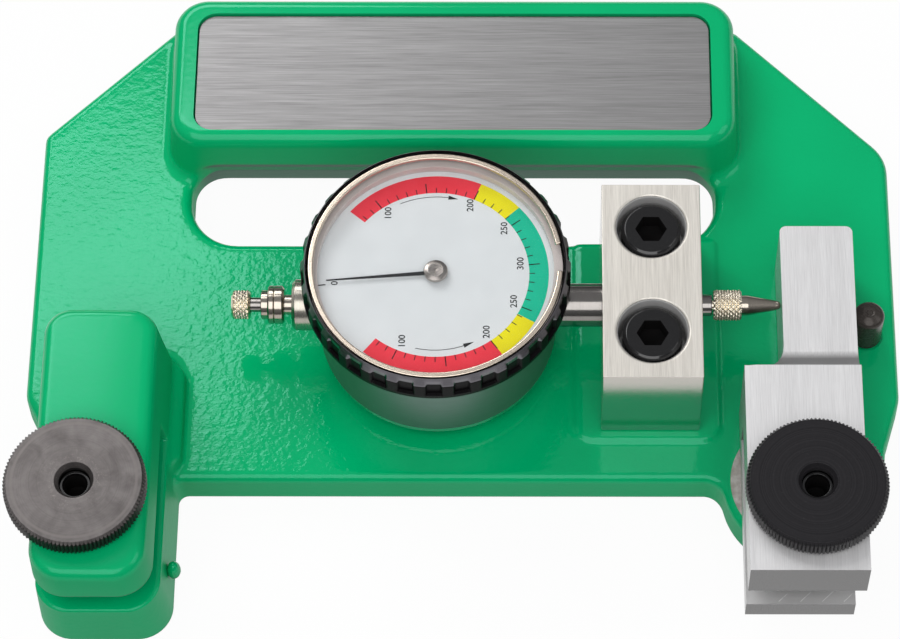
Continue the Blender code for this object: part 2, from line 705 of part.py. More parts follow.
def pivot_parts():
    """The bush and thrust washer stay with the casting, the pin and its retainer turn with the lever."""
    ring("pivot_bush", BUSH_RADIUS, PIN_RADIUS + RUN, PIVOT_SINK_DEPTH, PLATE_THICK, "bronze", PIVOT)
    ring("thrust_washer", THRUST_RADIUS, PIN_RADIUS + SEAT, LOBE_TOP + THRUST_GAP,
         LOBE_TOP + THRUST_GAP + THRUST_THICK, "bronze", PIVOT)
    washer_top = PIVOT_SINK_DEPTH - SEAT
    pin_bottom = washer_top + SEAT
    pin_top = SLOT_FLOOR - SEAT
    pin_profile = [(0, pin_top), (PIN_SPIGOT_RADIUS, pin_top), (PIN_SPIGOT_RADIUS, LEVER_BOTTOM - SEAT),
                   (PIN_RADIUS, LEVER_BOTTOM - SEAT), (PIN_RADIUS, pin_bottom), (0, pin_bottom)]
    pin = turned("pivot_pin", pin_profile, "steel", (*PIVOT, 0))
    washer = ring("pivot_washer", RETAINER_RADIUS, RETAINER_SCREW_RADIUS + SEAT, washer_top - RETAINER_THICK,
                  washer_top, "steel", PIVOT)
    head_top = washer_top - RETAINER_THICK - SEAT
    screw_tip = head_top + RETAINER_SCREW_LENGTH
    thread = cylinder("pivot_thread", RETAINER_SCREW_RADIUS + SEAT, pin_bottom - OVERRUN, screw_tip + SEAT, None,
                      PIVOT, SMALL_STEPS)
    cut(pin, thread)
    head_bottom = head_top - RETAINER_HEAD_HEIGHT
    screw_profile = [(0, screw_tip), (RETAINER_SCREW_RADIUS, screw_tip), (RETAINER_SCREW_RADIUS, head_top),
                     (RETAINER_HEAD_RADIUS, head_top), (RETAINER_HEAD_RADIUS, head_bottom), (0, head_bottom)]
    screw = turned("pivot_screw", screw_profile, "black", (*PIVOT, 0), SMALL_STEPS)
    cut(screw, prism("pivot_socket", hexagon(RETAINER_SOCKET, PIVOT), head_bottom - OVERRUN,
                     head_bottom + RETAINER_HEAD_HEIGHT * 2 / 3, None))
    return [pin, washer, screw]


def lever_arm():
    """One milled bar: the wide jaw at the front and the lower, narrower arm behind it."""
    corners = [
        (LEVER_JAW_LEFT, -LEVER_FRONT, 0),
        (LEVER_RIGHT, -LEVER_FRONT, 0),
        (LEVER_RIGHT, ARM_REAR, ARM_CORNER_RADIUS),
        (ARM_LEFT, ARM_REAR, ARM_CORNER_RADIUS),
        (ARM_LEFT, -LEVER_JAW_REAR, ARM_PLAN_FILLET),
        (LEVER_JAW_LEFT, -LEVER_JAW_REAR, 0),
    ]
    lever = prism("lever_arm", rounded_outline(corners), LEVER_BOTTOM, JAW_HEIGHT, "aluminium")
    bevel(lever, EDGE_BREAK)
    step = rounded_outline([
        (-LEVER_JAW_REAR, ARM_TOP, ARM_FILLET),
        (ARM_REAR + OVERRUN, ARM_TOP, 0),
        (ARM_REAR + OVERRUN, JAW_HEIGHT + OVERRUN, 0),
        (-LEVER_JAW_REAR, JAW_HEIGHT + OVERRUN, 0),
    ])
    left, right = LEVER_JAW_LEFT - OVERRUN, LEVER_RIGHT + OVERRUN
    arm_step = prism("arm_step", step, left, right, None, frame=SIDE_FRAME)
    slot = blade_slot("right_blade_slot", LEVER_JAW_LEFT, LEVER_RIGHT)
    inset = box("lower_jaw_inset", (LEVER_RIGHT - LOWER_JAW_INSET, -LEVER_FRONT - OVERRUN, LEVER_BOTTOM - OVERRUN),
                (right, SLOT_REAR, SLOT_FLOOR + SLOT_HEIGHT / 2), None)
    spigot = cylinder("pivot_spigot_hole", PIN_SPIGOT_RADIUS + SEAT, LEVER_BOTTOM - OVERRUN, SLOT_FLOOR + OVERRUN,
                      None, PIVOT, SMALL_STEPS)
    return smooth(cut(lever, arm_step, slot, inset, spigot, clamp_hole("right_clamp_hole", RIGHT_CLAMP)))


def stem_clamp_block():
    low = (BLOCK_LEFT, -BLOCK_DEPTH / 2, BLOCK_BOTTOM)
    high = (BLOCK_LEFT + BLOCK_WIDTH, BLOCK_DEPTH / 2, BLOCK_TOP)
    block = bevel(box("stem_clamp_block", low, high, "aluminium"), EDGE_BREAK)
    left, right = low[0] - OVERRUN, high[0] + OVERRUN
    bore = bar_x("stem_bore", STEM_RADIUS + SEAT, left, right, None, ROUND_STEPS)
    slit = box("clamp_slit", (left, -CLAMP_SLIT / 2, BLOCK_BOTTOM - OVERRUN), (right, CLAMP_SLIT / 2, STEM_HEIGHT),
               None)
    holes = [bore, slit]
    for i, y in enumerate(SCREW_YS):
        at = (BLOCK_X, y)
        holes.append(cylinder(f"counterbore_{i}", COUNTERBORE_RADIUS, CAP_HEAD_SEAT - SEAT, BLOCK_TOP + OVERRUN,
                              None, at))
        holes.append(cylinder(f"clearance_hole_{i}", CLEARANCE_RADIUS, BLOCK_BOTTOM - OVERRUN, CAP_HEAD_SEAT, None,
                              at, SMALL_STEPS))
    return smooth(cut(block, *holes))


def cap_screw(name, y):
    at = (BLOCK_X, y)
    rim = CAP_HEAD_RADIUS - CAP_HEAD_CHAMFER
    profile = [(0, CAP_HEAD_TOP), (rim, CAP_HEAD_TOP), (CAP_HEAD_RADIUS, CAP_HEAD_TOP - CAP_HEAD_CHAMFER),
               (CAP_HEAD_RADIUS, CAP_HEAD_SEAT), (CAP_SHANK_RADIUS, CAP_HEAD_SEAT), (CAP_SHANK_RADIUS, CAP_END),
               (0, CAP_END)]
    screw = turned(name, profile, "black", (*at, 0), SMALL_STEPS * 3 // 2)
    socket = prism(name + "_socket", hexagon(CAP_SOCKET, at), CAP_HEAD_TOP - CAP_SOCKET_DEPTH,
                   CAP_HEAD_TOP + OVERRUN, None)
    return cut(screw, socket)


def gauge_case():
    """The case's wall, with a ledge for the movement, the boss of the upper guide and the stem's hole."""
    inner = CASE_INNER
    low = CASE_BOTTOM + CASE_BACK_THICK + SEAT
    ledge = LOWER_PLATE_LEVEL - SEAT
    neck_top = CASE_TOP + CASE_NECK_HEIGHT
    profile = [(inner, neck_top), (CASE_NECK_RADIUS, neck_top), (CASE_NECK_RADIUS, CASE_TOP), (CASE_RADIUS, CASE_TOP),
               (CASE_RADIUS, low), (inner - CASE_LEDGE, low), (inner - CASE_LEDGE, ledge), (inner, ledge)]
    case = turned("gauge_case", profile, "steel", (*DIAL, 0), LARGE_STEPS, closed=True)
    boss = bar_x("guide_boss", BOSS_RADIUS, BOSS_END, DIAL_X - CASE_RADIUS + CASE_WALL / 2, None, SMALL_STEPS)
    join(case, boss)
    guide_hole = bar_x("guide_hole", GUIDE_NECK_RADIUS + SEAT, BOSS_END - OVERRUN, DIAL_X - inner / 2, None,
                       SMALL_STEPS)
    stem_hole = bar_x("stem_hole", STEM_RADIUS + SEAT, DIAL_X + inner / 2, DIAL_X + CASE_RADIUS + OVERRUN, None,
                      SMALL_STEPS)
    screw_holes = [cylinder(f"back_screw_hole_{i}", BACK_SCREW_RADIUS + SEAT, low - OVERRUN,
                            CASE_BOTTOM + SEAT + BACK_SCREW_LENGTH + SEAT, None, place, TINY_STEPS)
                   for i, place in enumerate(back_screw_places())]
    return smooth(cut(case, guide_hole, stem_hole, *screw_holes))


def back_screw_places():
    reach = CASE_RADIUS - CASE_WALL / 2 - CASE_LEDGE / 2
    turns = [math.pi * (2 * k + 1) / BACK_SCREW_COUNT for k in range(BACK_SCREW_COUNT)]
    return [(DIAL_X + reach * math.cos(a), reach * math.sin(a)) for a in turns]


def case_back():
    back = cylinder("case_back", CASE_RADIUS - EDGE_BREAK, CASE_BOTTOM, CASE_BOTTOM + CASE_BACK_THICK, "steel", DIAL)
    head = BACK_SCREW_LENGTH / 5
    holes = []
    for i, place in enumerate(back_screw_places()):
        holes.append(cylinder(f"back_hole_{i}", BACK_SCREW_RADIUS + SEAT, CASE_BOTTOM - OVERRUN,
                              CASE_BOTTOM + CASE_BACK_THICK + OVERRUN, None, place, TINY_STEPS))
        holes.append(cylinder(f"back_sink_{i}", BACK_SCREW_HEAD + SEAT, CASE_BOTTOM - OVERRUN,
                              CASE_BOTTOM + head + SEAT, None, place, TINY_STEPS))
        profile = [(0, BACK_SCREW_LENGTH), (BACK_SCREW_RADIUS, BACK_SCREW_LENGTH), (BACK_SCREW_RADIUS, head),
                   (BACK_SCREW_HEAD, head), (BACK_SCREW_HEAD, 0), (0, 0)]
        turned(f"back_screw_{i + 1}", profile, "steel", (*place, CASE_BOTTOM), TINY_STEPS)
    return smooth(cut(back, *holes))


def stem():
    """The stem, from inside the case's wall to inside the clamp block."""
    start = DIAL_X + CASE_INNER
    bore = SPINDLE_RADIUS + RUN
    length = STEM_END - start
    profile = [(bore, length), (STEM_RADIUS, length), (STEM_RADIUS, 0), (bore, 0)]
    return turned("stem", profile, "steel", (start, 0, STEM_HEIGHT), ROUND_STEPS, along_x=True, closed=True)


def guide_bush():
    """The upper guide outside the case: a neck, a wide collar and a narrower tip collar."""
    collar_root = BOSS_END - GUIDE_NECK_LENGTH
    tip_root = collar_root - GUIDE_COLLAR_LENGTH
    start = tip_root - GUIDE_TIP_LENGTH
    root = DIAL_X - CASE_INNER + CASE_LEDGE + SEAT
    bore = ROD_RADIUS + RUN
    profile = [(bore, root - start), (GUIDE_NECK_RADIUS, root - start), (GUIDE_NECK_RADIUS, collar_root - start),
               (GUIDE_COLLAR_RADIUS, collar_root - start), (GUIDE_COLLAR_RADIUS, tip_root - start),
               (GUIDE_TIP_RADIUS, tip_root - start), (GUIDE_TIP_RADIUS, 0), (bore, 0)]
    turned("guide_bush", profile, "nickel", (start, 0, STEM_HEIGHT), SMALL_STEPS, along_x=True, closed=True)
    return start, root


def rack_comb_outline(centre_x, length):
    """What is cut from the spindle's near side to leave the rack's teeth, with a gap at the centre."""
    pitch = 2 * math.pi * RACK_PITCH_RADIUS / RACK_TEETH
    module = pitch / math.pi
    line = rack_arbor_place()[1] + RACK_PITCH_RADIUS
    root = line + TOOTH_DEDENDUM_SHARE * module
    tip = line - TOOTH_ADDENDUM_SHARE * module
    clear = -SPINDLE_RADIUS - OVERRUN
    count = 2 * round(length / pitch / 2)
    first = centre_x - pitch * count / 2
    last = centre_x + pitch * count / 2
    run = [(first, clear), (first, root)]
    for k in range(count):
        middle = first + pitch * (k + 0.5)
        for y, offset in ((root, -TOOTH_ROOT_SHARE), (tip, -TOOTH_TIP_SHARE), (tip, TOOTH_TIP_SHARE),
                          (root, TOOTH_ROOT_SHARE)):
            run.append((middle + pitch * offset / 2, y))
    return run + [(last, root), (last, clear)]


def mesh_distance(teeth):
    """From the centre pinion's arbor to that of a wheel in mesh with it."""
    return WHEEL_MODULE * (teeth + PINION_TEETH) / 2


def rack_arbor_place():
    """Left of the dial's centre, on the near side of the spindle and in mesh with its rack."""
    y = -(SPINDLE_RADIUS - TOOTH_ADDENDUM_SHARE * 2 * RACK_PITCH_RADIUS / RACK_TEETH + RACK_PITCH_RADIUS)
    return DIAL_X - math.sqrt(mesh_distance(WHEEL_TEETH) ** 2 - y ** 2), y


def take_up_place():
    """Across the dial's centre from the rack pinion."""
    x, y = rack_arbor_place()
    share = mesh_distance(TAKE_UP_TEETH) / mesh_distance(WHEEL_TEETH)
    return DIAL_X + (DIAL_X - x) * share, -y * share


def gear_outline(teeth, pitch_radius, phase, centre):
    """Straight sided teeth with flat tips, or pointed ones on a wheel. The phase is a tooth's middle."""
    module = 2 * pitch_radius / teeth
    tip = pitch_radius + TOOTH_ADDENDUM_SHARE * module
    root = pitch_radius - TOOTH_DEDENDUM_SHARE * module
    pitch = 2 * math.pi / teeth
    tips = [(tip, 0)] if teeth > RACK_TEETH else [(tip, -TOOTH_TIP_SHARE), (tip, TOOTH_TIP_SHARE)]
    run = []
    for k in range(teeth):
        for radius, offset in ((root, -TOOTH_ROOT_SHARE), *tips, (root, TOOTH_ROOT_SHARE)):
            angle = phase + pitch * (k + offset / 2)
            run.append((centre[0] + radius * math.cos(angle), centre[1] + radius * math.sin(angle)))
    return run


def movement():
    """Rack, wheels and arbors between two round plates on pillars. Returns the bodies' objects."""
    rack_at = rack_arbor_place()
    take_up_at = take_up_place()
    seat_radius = CASE_INNER - SEAT
    to_dial = math.atan2(-rack_at[1], DIAL_X - rack_at[0])
    across = to_dial + math.pi / 2
    pillar_turns = [across - PILLAR_SPREAD, across + PILLAR_SPREAD, across + math.pi]
    pillars = [(DIAL_X + PILLAR_CIRCLE * math.cos(a), PILLAR_CIRCLE * math.sin(a)) for a in pillar_turns]
    bearing = ARBOR_RADIUS + RUN
    for name, level in (("movement_plate_lower", LOWER_PLATE_LEVEL), ("movement_plate_upper", UPPER_PLATE_LEVEL)):
        holes = [circle_outline(bearing, TINY_STEPS, at) for at in (rack_at, take_up_at, DIAL)]
        prism(name, circle_outline(seat_radius, ROUND_STEPS, DIAL), level, level + MOVEMENT_PLATE_THICK, "bronze",
              holes)
    for i, at in enumerate(pillars):
        cylinder(f"movement_pillar_{i + 1}", PILLAR_RADIUS, LOWER_PLATE_LEVEL + MOVEMENT_PLATE_THICK + SEAT,
                 UPPER_PLATE_LEVEL - SEAT, "bronze", at, TINY_STEPS)

    # The middle of a wheel tooth points at the middle of a pinion gap along each line of centres.
    pinion_radius = WHEEL_MODULE * PINION_TEETH / 2
    wheel_top = WHEEL_LEVEL + WHEEL_THICK
    hub_hole = ARBOR_RADIUS + SEAT
    wheels = {}
    for name, count, at, phase in (("rack_gear", WHEEL_TEETH, rack_at, to_dial),
                                   ("take_up_gear", TAKE_UP_TEETH, take_up_at, to_dial + math.pi)):
        teeth = gear_outline(count, WHEEL_MODULE * count / 2, phase, at)
        wheels[name] = prism(name, teeth, WHEEL_LEVEL, wheel_top, "bronze",
                             [circle_outline(hub_hole, TINY_STEPS, at)])
    centre_phase = to_dial + math.pi + math.pi / PINION_TEETH
    pinion = prism("centre_pinion", gear_outline(PINION_TEETH, pinion_radius, centre_phase, DIAL),
                   WHEEL_LEVEL - SEAT, WHEEL_LEVEL - SEAT + PINION_THICK, "steel")
    arbor_top = FACE_TOP + POINTER_RISE + POINTER_THICK + HUB_HEIGHT / 2
    join(pinion, cylinder("centre_arbor", ARBOR_RADIUS, LOWER_PLATE_LEVEL + SEAT, arbor_top, None, DIAL, TINY_STEPS))

    # A tooth of the rack pinion stands in the rack's middle gap.
    pinion_teeth = gear_outline(RACK_TEETH, RACK_PITCH_RADIUS, math.pi / 2, rack_at)
    rack_pinion = prism("rack_pinion", pinion_teeth, STEM_HEIGHT - RACK_PINION_HEIGHT / 2,
                        STEM_HEIGHT + RACK_PINION_HEIGHT / 2, "steel")
    plate_top = UPPER_PLATE_LEVEL + MOVEMENT_PLATE_THICK - SEAT
    join(rack_pinion, cylinder("rack_arbor", ARBOR_RADIUS, STEM_HEIGHT, plate_top, None, rack_at, TINY_STEPS))
    take_up = cylinder("take_up_arbor", ARBOR_RADIUS, LOWER_PLATE_LEVEL + SEAT, plate_top, "steel", take_up_at,
                       TINY_STEPS)
    hairspring = spiral("hairspring", take_up_at)
    return {"rack": [rack_pinion, wheels["rack_gear"]], "take_up": [take_up, wheels["take_up_gear"], hairspring],
            "centre": [pinion]}


def tube(name, points, radius, look, at=(0, 0, 0)):
    """A wire along a run of points."""
    curve = bpy.data.curves.new(name, "CURVE")
    curve.dimensions = "3D"
    curve.bevel_depth = radius
    curve.bevel_resolution = 1
    curve.use_fill_caps = True
    spline = curve.splines.new("POLY")
    spline.points.add(len(points) - 1)
    for point, co in zip(spline.points, points):
        point.co = (*co, 1)
    guide = bpy.data.objects.new(name + "_line", curve)
    guide.location = at
    return place(solid_from_curve(guide, name), look)


def spiral(name, centre):
    """The flat hairspring, from near its arbor outwards."""
    start = ARBOR_RADIUS + SEAT + HAIRSPRING_WIRE
    steps = HAIRSPRING_TURNS * TINY_STEPS
    run = []
    for k in range(steps + 1):
        angle = 2 * math.pi * k / TINY_STEPS
        radius = start + HAIRSPRING_PITCH * k / TINY_STEPS
        run.append((radius * math.cos(angle), radius * math.sin(angle), 0))
    return tube(name, run, HAIRSPRING_WIRE, "steel", (*centre, HAIRSPRING_LEVEL))


def plunger(guide_root):
    """Spindle with its rack, contact tip and lift cap, and the return spring round the rod."""
    cap_root = BOSS_END - GUIDE_NECK_LENGTH - GUIDE_COLLAR_LENGTH - GUIDE_TIP_LENGTH - LIFT_CAP_GAP
    rod_end = cap_root - LIFT_CAP_LENGTH * 3 / 4
    rack_x = rack_arbor_place()[0]
    shoulder_x = rack_x - RACK_LENGTH / 2
    shoulder = shoulder_x - rod_end
    length = SPINDLE_END - rod_end
    profile = [(0, length), (SPINDLE_RADIUS, length), (SPINDLE_RADIUS, shoulder), (ROD_RADIUS, shoulder),
               (ROD_RADIUS, 0), (0, 0)]
    spindle = turned("spindle", profile, "steel", (rod_end, 0, STEM_HEIGHT), SMALL_STEPS, along_x=True)
    contact_root = SPINDLE_END + SEAT
    thread_root = contact_root - CONTACT_THREAD_LENGTH
    cut(spindle, bar_x("contact_thread_hole", CONTACT_THREAD_RADIUS + SEAT, thread_root - SEAT, contact_root + OVERRUN,
                       None, TINY_STEPS))
    comb_height = SPINDLE_RADIUS + OVERRUN
    cut(spindle, prism("rack_comb", rack_comb_outline(rack_x, RACK_LENGTH), STEM_HEIGHT - comb_height,
                       STEM_HEIGHT + comb_height, None))

    tip = ARM_LEFT - CONTACT_GAP - thread_root
    collar = contact_root - thread_root
    collar_end = collar + CONTACT_COLLAR_LENGTH
    nose = [(CONTACT_NOSE_RADIUS * math.sin(a), tip - CONTACT_NOSE_RADIUS * (1 - math.cos(a)))
            for a in (math.pi / 2 * k / BEVEL_STEPS for k in range(BEVEL_STEPS + 1))]
    contact_profile = [*nose, (CONTACT_CONE_RADIUS, collar_end), (CONTACT_COLLAR_RADIUS, collar_end),
                       (CONTACT_COLLAR_RADIUS, collar), (CONTACT_THREAD_RADIUS, collar), (CONTACT_THREAD_RADIUS, 0),
                       (0, 0)]
    contact = turned("contact_tip", contact_profile, "nickel", (thread_root, 0, STEM_HEIGHT), SMALL_STEPS,
                     along_x=True)
    cap_start = cap_root - LIFT_CAP_LENGTH
    cap = bar_x("lift_cap", LIFT_CAP_RADIUS, cap_start, cap_root, "nickel", SMALL_STEPS)
    bevel(cap, EDGE_BREAK)
    cut(cap, bar_x("lift_cap_hole", ROD_RADIUS + SEAT, rod_end - SEAT, cap_root + OVERRUN, None, TINY_STEPS))

    low = guide_root + SEAT + SPRING_WIRE_RADIUS
    high = shoulder_x - SEAT - SPRING_WIRE_RADIUS
    steps = SPRING_TURNS * TINY_STEPS
    coil = []
    for k in range(steps + 1):
        angle = 2 * math.pi * k / TINY_STEPS
        coil.append((low + (high - low) * k / steps, SPRING_RADIUS * math.cos(angle),
                     SPRING_RADIUS * math.sin(angle)))
    tube("return_spring", coil, SPRING_WIRE_RADIUS, "steel", (0, 0, STEM_HEIGHT))
    return [spindle, contact, cap]


def scalloped_outline():
    """The bezel's rim: shallow lobes that a finger grips."""
    steps_per_lobe = 4
    count = BEZEL_LOBES * steps_per_lobe
    run = []
    for k in range(count):
        radius = BEZEL_RADIUS - BEZEL_LOBE_DEPTH * (k % steps_per_lobe >= steps_per_lobe / 2)
        angle = 2 * math.pi * (k + 0.5) / count
        run.append((DIAL_X + radius * math.cos(angle), radius * math.sin(angle)))
    return run


def bezel_parts():
    ledge_low = FACE_TOP - FACE_THICK - SEAT - LEDGE_THICK
    ledge_high = ledge_low + LEDGE_THICK
    ring_low = BEZEL_TOP - SEAT - RING_THICK
    crystal_top = ring_low - SEAT
    crystal_low = crystal_top - CRYSTAL_THICK
    seat_low = crystal_low - SEAT
    collar = CASE_NECK_RADIUS + SEAT
    bezel = prism("bezel", scalloped_outline(), BEZEL_BOTTOM, BEZEL_LOBE_TOP, "plastic")
    rim = cylinder("bezel_rim", BEZEL_RIM_RADIUS, BEZEL_LOBE_TOP - BEZEL_RIM_CHAMFER, BEZEL_TOP, None, DIAL,
                   LARGE_STEPS, BEZEL_RIM_CHAMFER)
    join(bezel, rim)
    above, below = BEZEL_TOP + OVERRUN, BEZEL_BOTTOM - OVERRUN
    bore = [(0, above), (BEZEL_RIM_INNER, above), (BEZEL_RIM_INNER, seat_low), (BEZEL_SEAT_INNER, seat_low),
            (BEZEL_SEAT_INNER, ledge_high), (BEZEL_FACE_LEDGE, ledge_high), (BEZEL_FACE_LEDGE, ledge_low),
            (collar, ledge_low), (collar, below), (0, below)]
    cut(bezel, turned("bezel_bore", bore, None, (*DIAL, 0), LARGE_STEPS))
    smooth(bezel)
    face = ring("dial_face", BEZEL_SEAT_INNER - SEAT, FACE_HOLE_RADIUS, FACE_TOP - FACE_THICK, FACE_TOP, "face", DIAL)
    crystal = cylinder("crystal", BEZEL_RIM_INNER - SEAT, crystal_low, crystal_top, "clear", DIAL)
    outer = BEZEL_RIM_INNER - SEAT
    turns = [RING_GAP_PLACE + RING_GAP_ANGLE / 2 + (2 * math.pi - RING_GAP_ANGLE) * k / ROUND_STEPS
             for k in range(ROUND_STEPS + 1)]
    run = [(DIAL_X + outer * math.cos(a), outer * math.sin(a)) for a in turns]
    inner = outer - RING_WIDTH
    run += [(DIAL_X + inner * math.cos(a), inner * math.sin(a)) for a in reversed(turns)]
    crystal_ring = prism("crystal_ring", run, ring_low, ring_low + RING_THICK, "nickel")
    return [bezel, face, crystal, crystal_ring]


def pointer_parts():
    """A tapered needle with a round eye, held on the arbor by the polished hub."""
    low = FACE_TOP + POINTER_RISE
    direction = Matrix.Rotation(POINTER_REST, 2)
    eye = [Vector((POINTER_EYE_RADIUS * math.cos(a), POINTER_EYE_RADIUS * math.sin(a)))
           for a in (math.pi / 4 + math.pi * 3 / 2 * k / ARC_STEPS for k in range(ARC_STEPS + 1))]
    needle = [Vector((POINTER_EYE_RADIUS, -POINTER_ROOT_WIDTH / 2)), Vector((POINTER_LENGTH, -POINTER_TIP_WIDTH / 2)),
              Vector((POINTER_LENGTH, POINTER_TIP_WIDTH / 2)), Vector((POINTER_EYE_RADIUS, POINTER_ROOT_WIDTH / 2))]
    run = [direction @ p + Vector(DIAL) for p in eye + needle]
    hole = circle_outline(ARBOR_RADIUS + SEAT, TINY_STEPS, DIAL)
    pointer = prism("pointer", [tuple(p) for p in run], low, low + POINTER_THICK, "black", [hole])
    hub_low = low + POINTER_THICK + SEAT
    hub = cylinder("pointer_hub", HUB_RADIUS, hub_low, hub_low + HUB_HEIGHT, "steel", DIAL, SMALL_STEPS, EDGE_BREAK)
    arbor_top = FACE_TOP + POINTER_RISE + POINTER_THICK + HUB_HEIGHT / 2
    cut(hub, cylinder("hub_hole", ARBOR_RADIUS + SEAT, hub_low - OVERRUN, arbor_top + SEAT, None, DIAL, TINY_STEPS))
    return [pointer, hub]


def knurled_outline(centre):
    steps = KNOB_TEETH * 2
    run = []
    for k in range(steps):
        radius = KNOB_RADIUS - (k % 2) * KNOB_TOOTH_DEPTH
        angle = 2 * math.pi * k / steps
        run.append((centre[0] + radius * math.cos(angle), centre[1] + radius * math.sin(angle)))
    return run


def thumb_screw(side, centre, look):
    """A knurled knob screwed on a stud, whose neck carries a pad that doesn't turn with it."""
    knob = prism(f"{side}_thumb_knob", knurled_outline(centre), KNOB_BOTTOM, KNOB_TOP, look)
    lens_radius = KNOB_RADIUS + KNOB_TOOTH_DEPTH
    lens = [(0, KNOB_TOP), (lens_radius - 2 * KNOB_CHAMFER, KNOB_TOP), (lens_radius, KNOB_TOP - KNOB_CHAMFER),
            (lens_radius, KNOB_BOTTOM + KNOB_CHAMFER), (lens_radius - 2 * KNOB_CHAMFER, KNOB_BOTTOM),
            (0, KNOB_BOTTOM)]
    lens = [(radius, height + (KNOB_CHAMFER / 2 if height > JAW_HEIGHT + KNOB_THICK / 2 else -KNOB_CHAMFER / 2))
            for radius, height in lens]
    combine(knob, [turned(f"{side}_knob_lens", lens, None, (*centre, 0))], "INTERSECT")
    stud_top = KNOB_TOP - STUD_SINK
    mouth_depth = THREAD_MOUTH_RADIUS - THREAD_CORE_RADIUS
    bore = [(0, KNOB_TOP + OVERRUN), (THREAD_MOUTH_RADIUS + OVERRUN, KNOB_TOP + OVERRUN),
            (THREAD_CORE_RADIUS, KNOB_TOP - mouth_depth), (THREAD_CORE_RADIUS, stud_top + SEAT),
            (THREAD_RADIUS + SEAT, stud_top + SEAT), (THREAD_RADIUS + SEAT, KNOB_BOTTOM - OVERRUN),
            (0, KNOB_BOTTOM - OVERRUN)]
    smooth(cut(knob, turned(f"{side}_knob_bore", bore, None, (*centre, 0), SMALL_STEPS)))

    pad_low = SLOT_FLOOR + SEAT
    pad_top = pad_low + PRESSURE_PAD_HEIGHT
    neck_low = pad_low + PRESSURE_PAD_WEB + SEAT
    shoulder = pad_top + SEAT
    profile = [(0, stud_top), (THREAD_RADIUS, stud_top), (THREAD_RADIUS, shoulder), (STUD_NECK_RADIUS, shoulder),
               (STUD_NECK_RADIUS, neck_low), (0, neck_low)]
    stud = turned(f"{side}_clamp_stud", profile, "black", (*centre, 0), SMALL_STEPS)
    pad = cylinder(f"{side}_pressure_pad", PRESSURE_PAD_RADIUS, pad_low, pad_top, "steel", centre, SMALL_STEPS)
    cut(pad, cylinder(f"{side}_pad_socket", STUD_NECK_RADIUS + RUN, pad_low + PRESSURE_PAD_WEB, pad_top + OVERRUN,
                      None, centre, SMALL_STEPS))
    carry(f"{side}_clamp_axis", (*centre, 0), [knob, stud, pad])


def build():
    frame_casting()
    name_plate()
    stop_pin()
    pivot_pieces = pivot_parts()
    carry("lever_axis", (*PIVOT, 0), [lever_arm(), *pivot_pieces])
    stem_clamp_block()
    for name, y in zip(("clamp_screw_rear", "clamp_screw_front"), SCREW_YS):
        cap_screw(name, y)
    gauge_case()
    case_back()
    stem()
    guide_root = guide_bush()[1]
    carry("plunger_axis", (0, 0, STEM_HEIGHT), plunger(guide_root))
    inside = movement()
    carry("rack_axis", (*rack_arbor_place(), 0), inside["rack"])
    carry("take_up_axis", (*take_up_place(), 0), inside["take_up"])
    carry("dial_axis", (*DIAL, 0), bezel_parts())
    carry("pointer_axis", (*DIAL, 0), [*inside["centre"], *pointer_parts()])
    thumb_screw("left", LEFT_CLAMP, "worn")
    thumb_screw("right", RIGHT_CLAMP, "black")


build()
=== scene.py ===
"""The blade tension gauge, dressed for its picture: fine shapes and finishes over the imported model.

Sizes are in millimetres. Each piece is made in millimetres where it belongs, and fit() brings it to metres.
"""

import json
from math import atan2, copysign, cos, dist, pi, radians, sin, sqrt, tan

import bmesh
import bpy
import numpy as np
from mathutils import Matrix, Vector

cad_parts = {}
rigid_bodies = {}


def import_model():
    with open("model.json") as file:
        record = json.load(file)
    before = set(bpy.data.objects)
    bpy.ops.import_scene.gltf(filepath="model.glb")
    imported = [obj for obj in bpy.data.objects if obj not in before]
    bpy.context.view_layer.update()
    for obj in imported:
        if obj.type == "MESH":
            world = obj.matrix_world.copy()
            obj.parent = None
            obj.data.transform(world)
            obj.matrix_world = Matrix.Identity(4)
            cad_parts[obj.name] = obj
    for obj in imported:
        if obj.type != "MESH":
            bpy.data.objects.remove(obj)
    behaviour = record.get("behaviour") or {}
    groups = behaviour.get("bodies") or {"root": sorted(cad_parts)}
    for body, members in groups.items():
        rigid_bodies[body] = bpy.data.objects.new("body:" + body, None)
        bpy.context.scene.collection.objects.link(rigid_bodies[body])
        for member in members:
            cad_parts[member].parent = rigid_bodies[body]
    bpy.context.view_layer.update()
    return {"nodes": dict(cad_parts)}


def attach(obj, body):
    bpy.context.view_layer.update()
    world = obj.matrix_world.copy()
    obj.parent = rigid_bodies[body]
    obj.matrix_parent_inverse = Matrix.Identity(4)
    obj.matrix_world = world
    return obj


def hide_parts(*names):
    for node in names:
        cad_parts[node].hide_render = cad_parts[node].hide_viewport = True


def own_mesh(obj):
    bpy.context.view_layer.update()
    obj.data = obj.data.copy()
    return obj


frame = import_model()

MM = 0.001
WELD = 1e-4

# Where the main pieces are, as in the part's source
DIAL = (-2.8, 0.0)
STEM_HEIGHT = 24.0
PIVOT = (76.6, -35.5)
LEFT_CLAMP = (-77.6, -49.1)
RIGHT_CLAMP = (77.6, -49.1)
PLATE_TOP = 9.0
JAW_TOP = 33.0
SLOT_FLOOR = 15.3
SLOT_ROOF = 22.4
BLOCK_TOP = 35.7
BLOCK = (33.0, 54.5, -23.7, 23.7)
SCREWS = ((43.75, 13.2), (43.75, -12.4))
STOP_PIN = (92.0, 0.5)
SPRING_RUN = (-23.0, -18.4)
SPRING_TURNS = 5
THREAD_PITCH = 1.25

# Round pieces stand on a point of the plan, or lie on the stem's axis, which runs along X
ORIGIN = (0, 0)
STEM = (0, 0, STEM_HEIGHT)


# ---- meshes

def placed(name, data):
    """A new object in the scene."""
    piece = bpy.data.objects.new(name, data)
    bpy.context.scene.collection.objects.link(piece)
    return piece


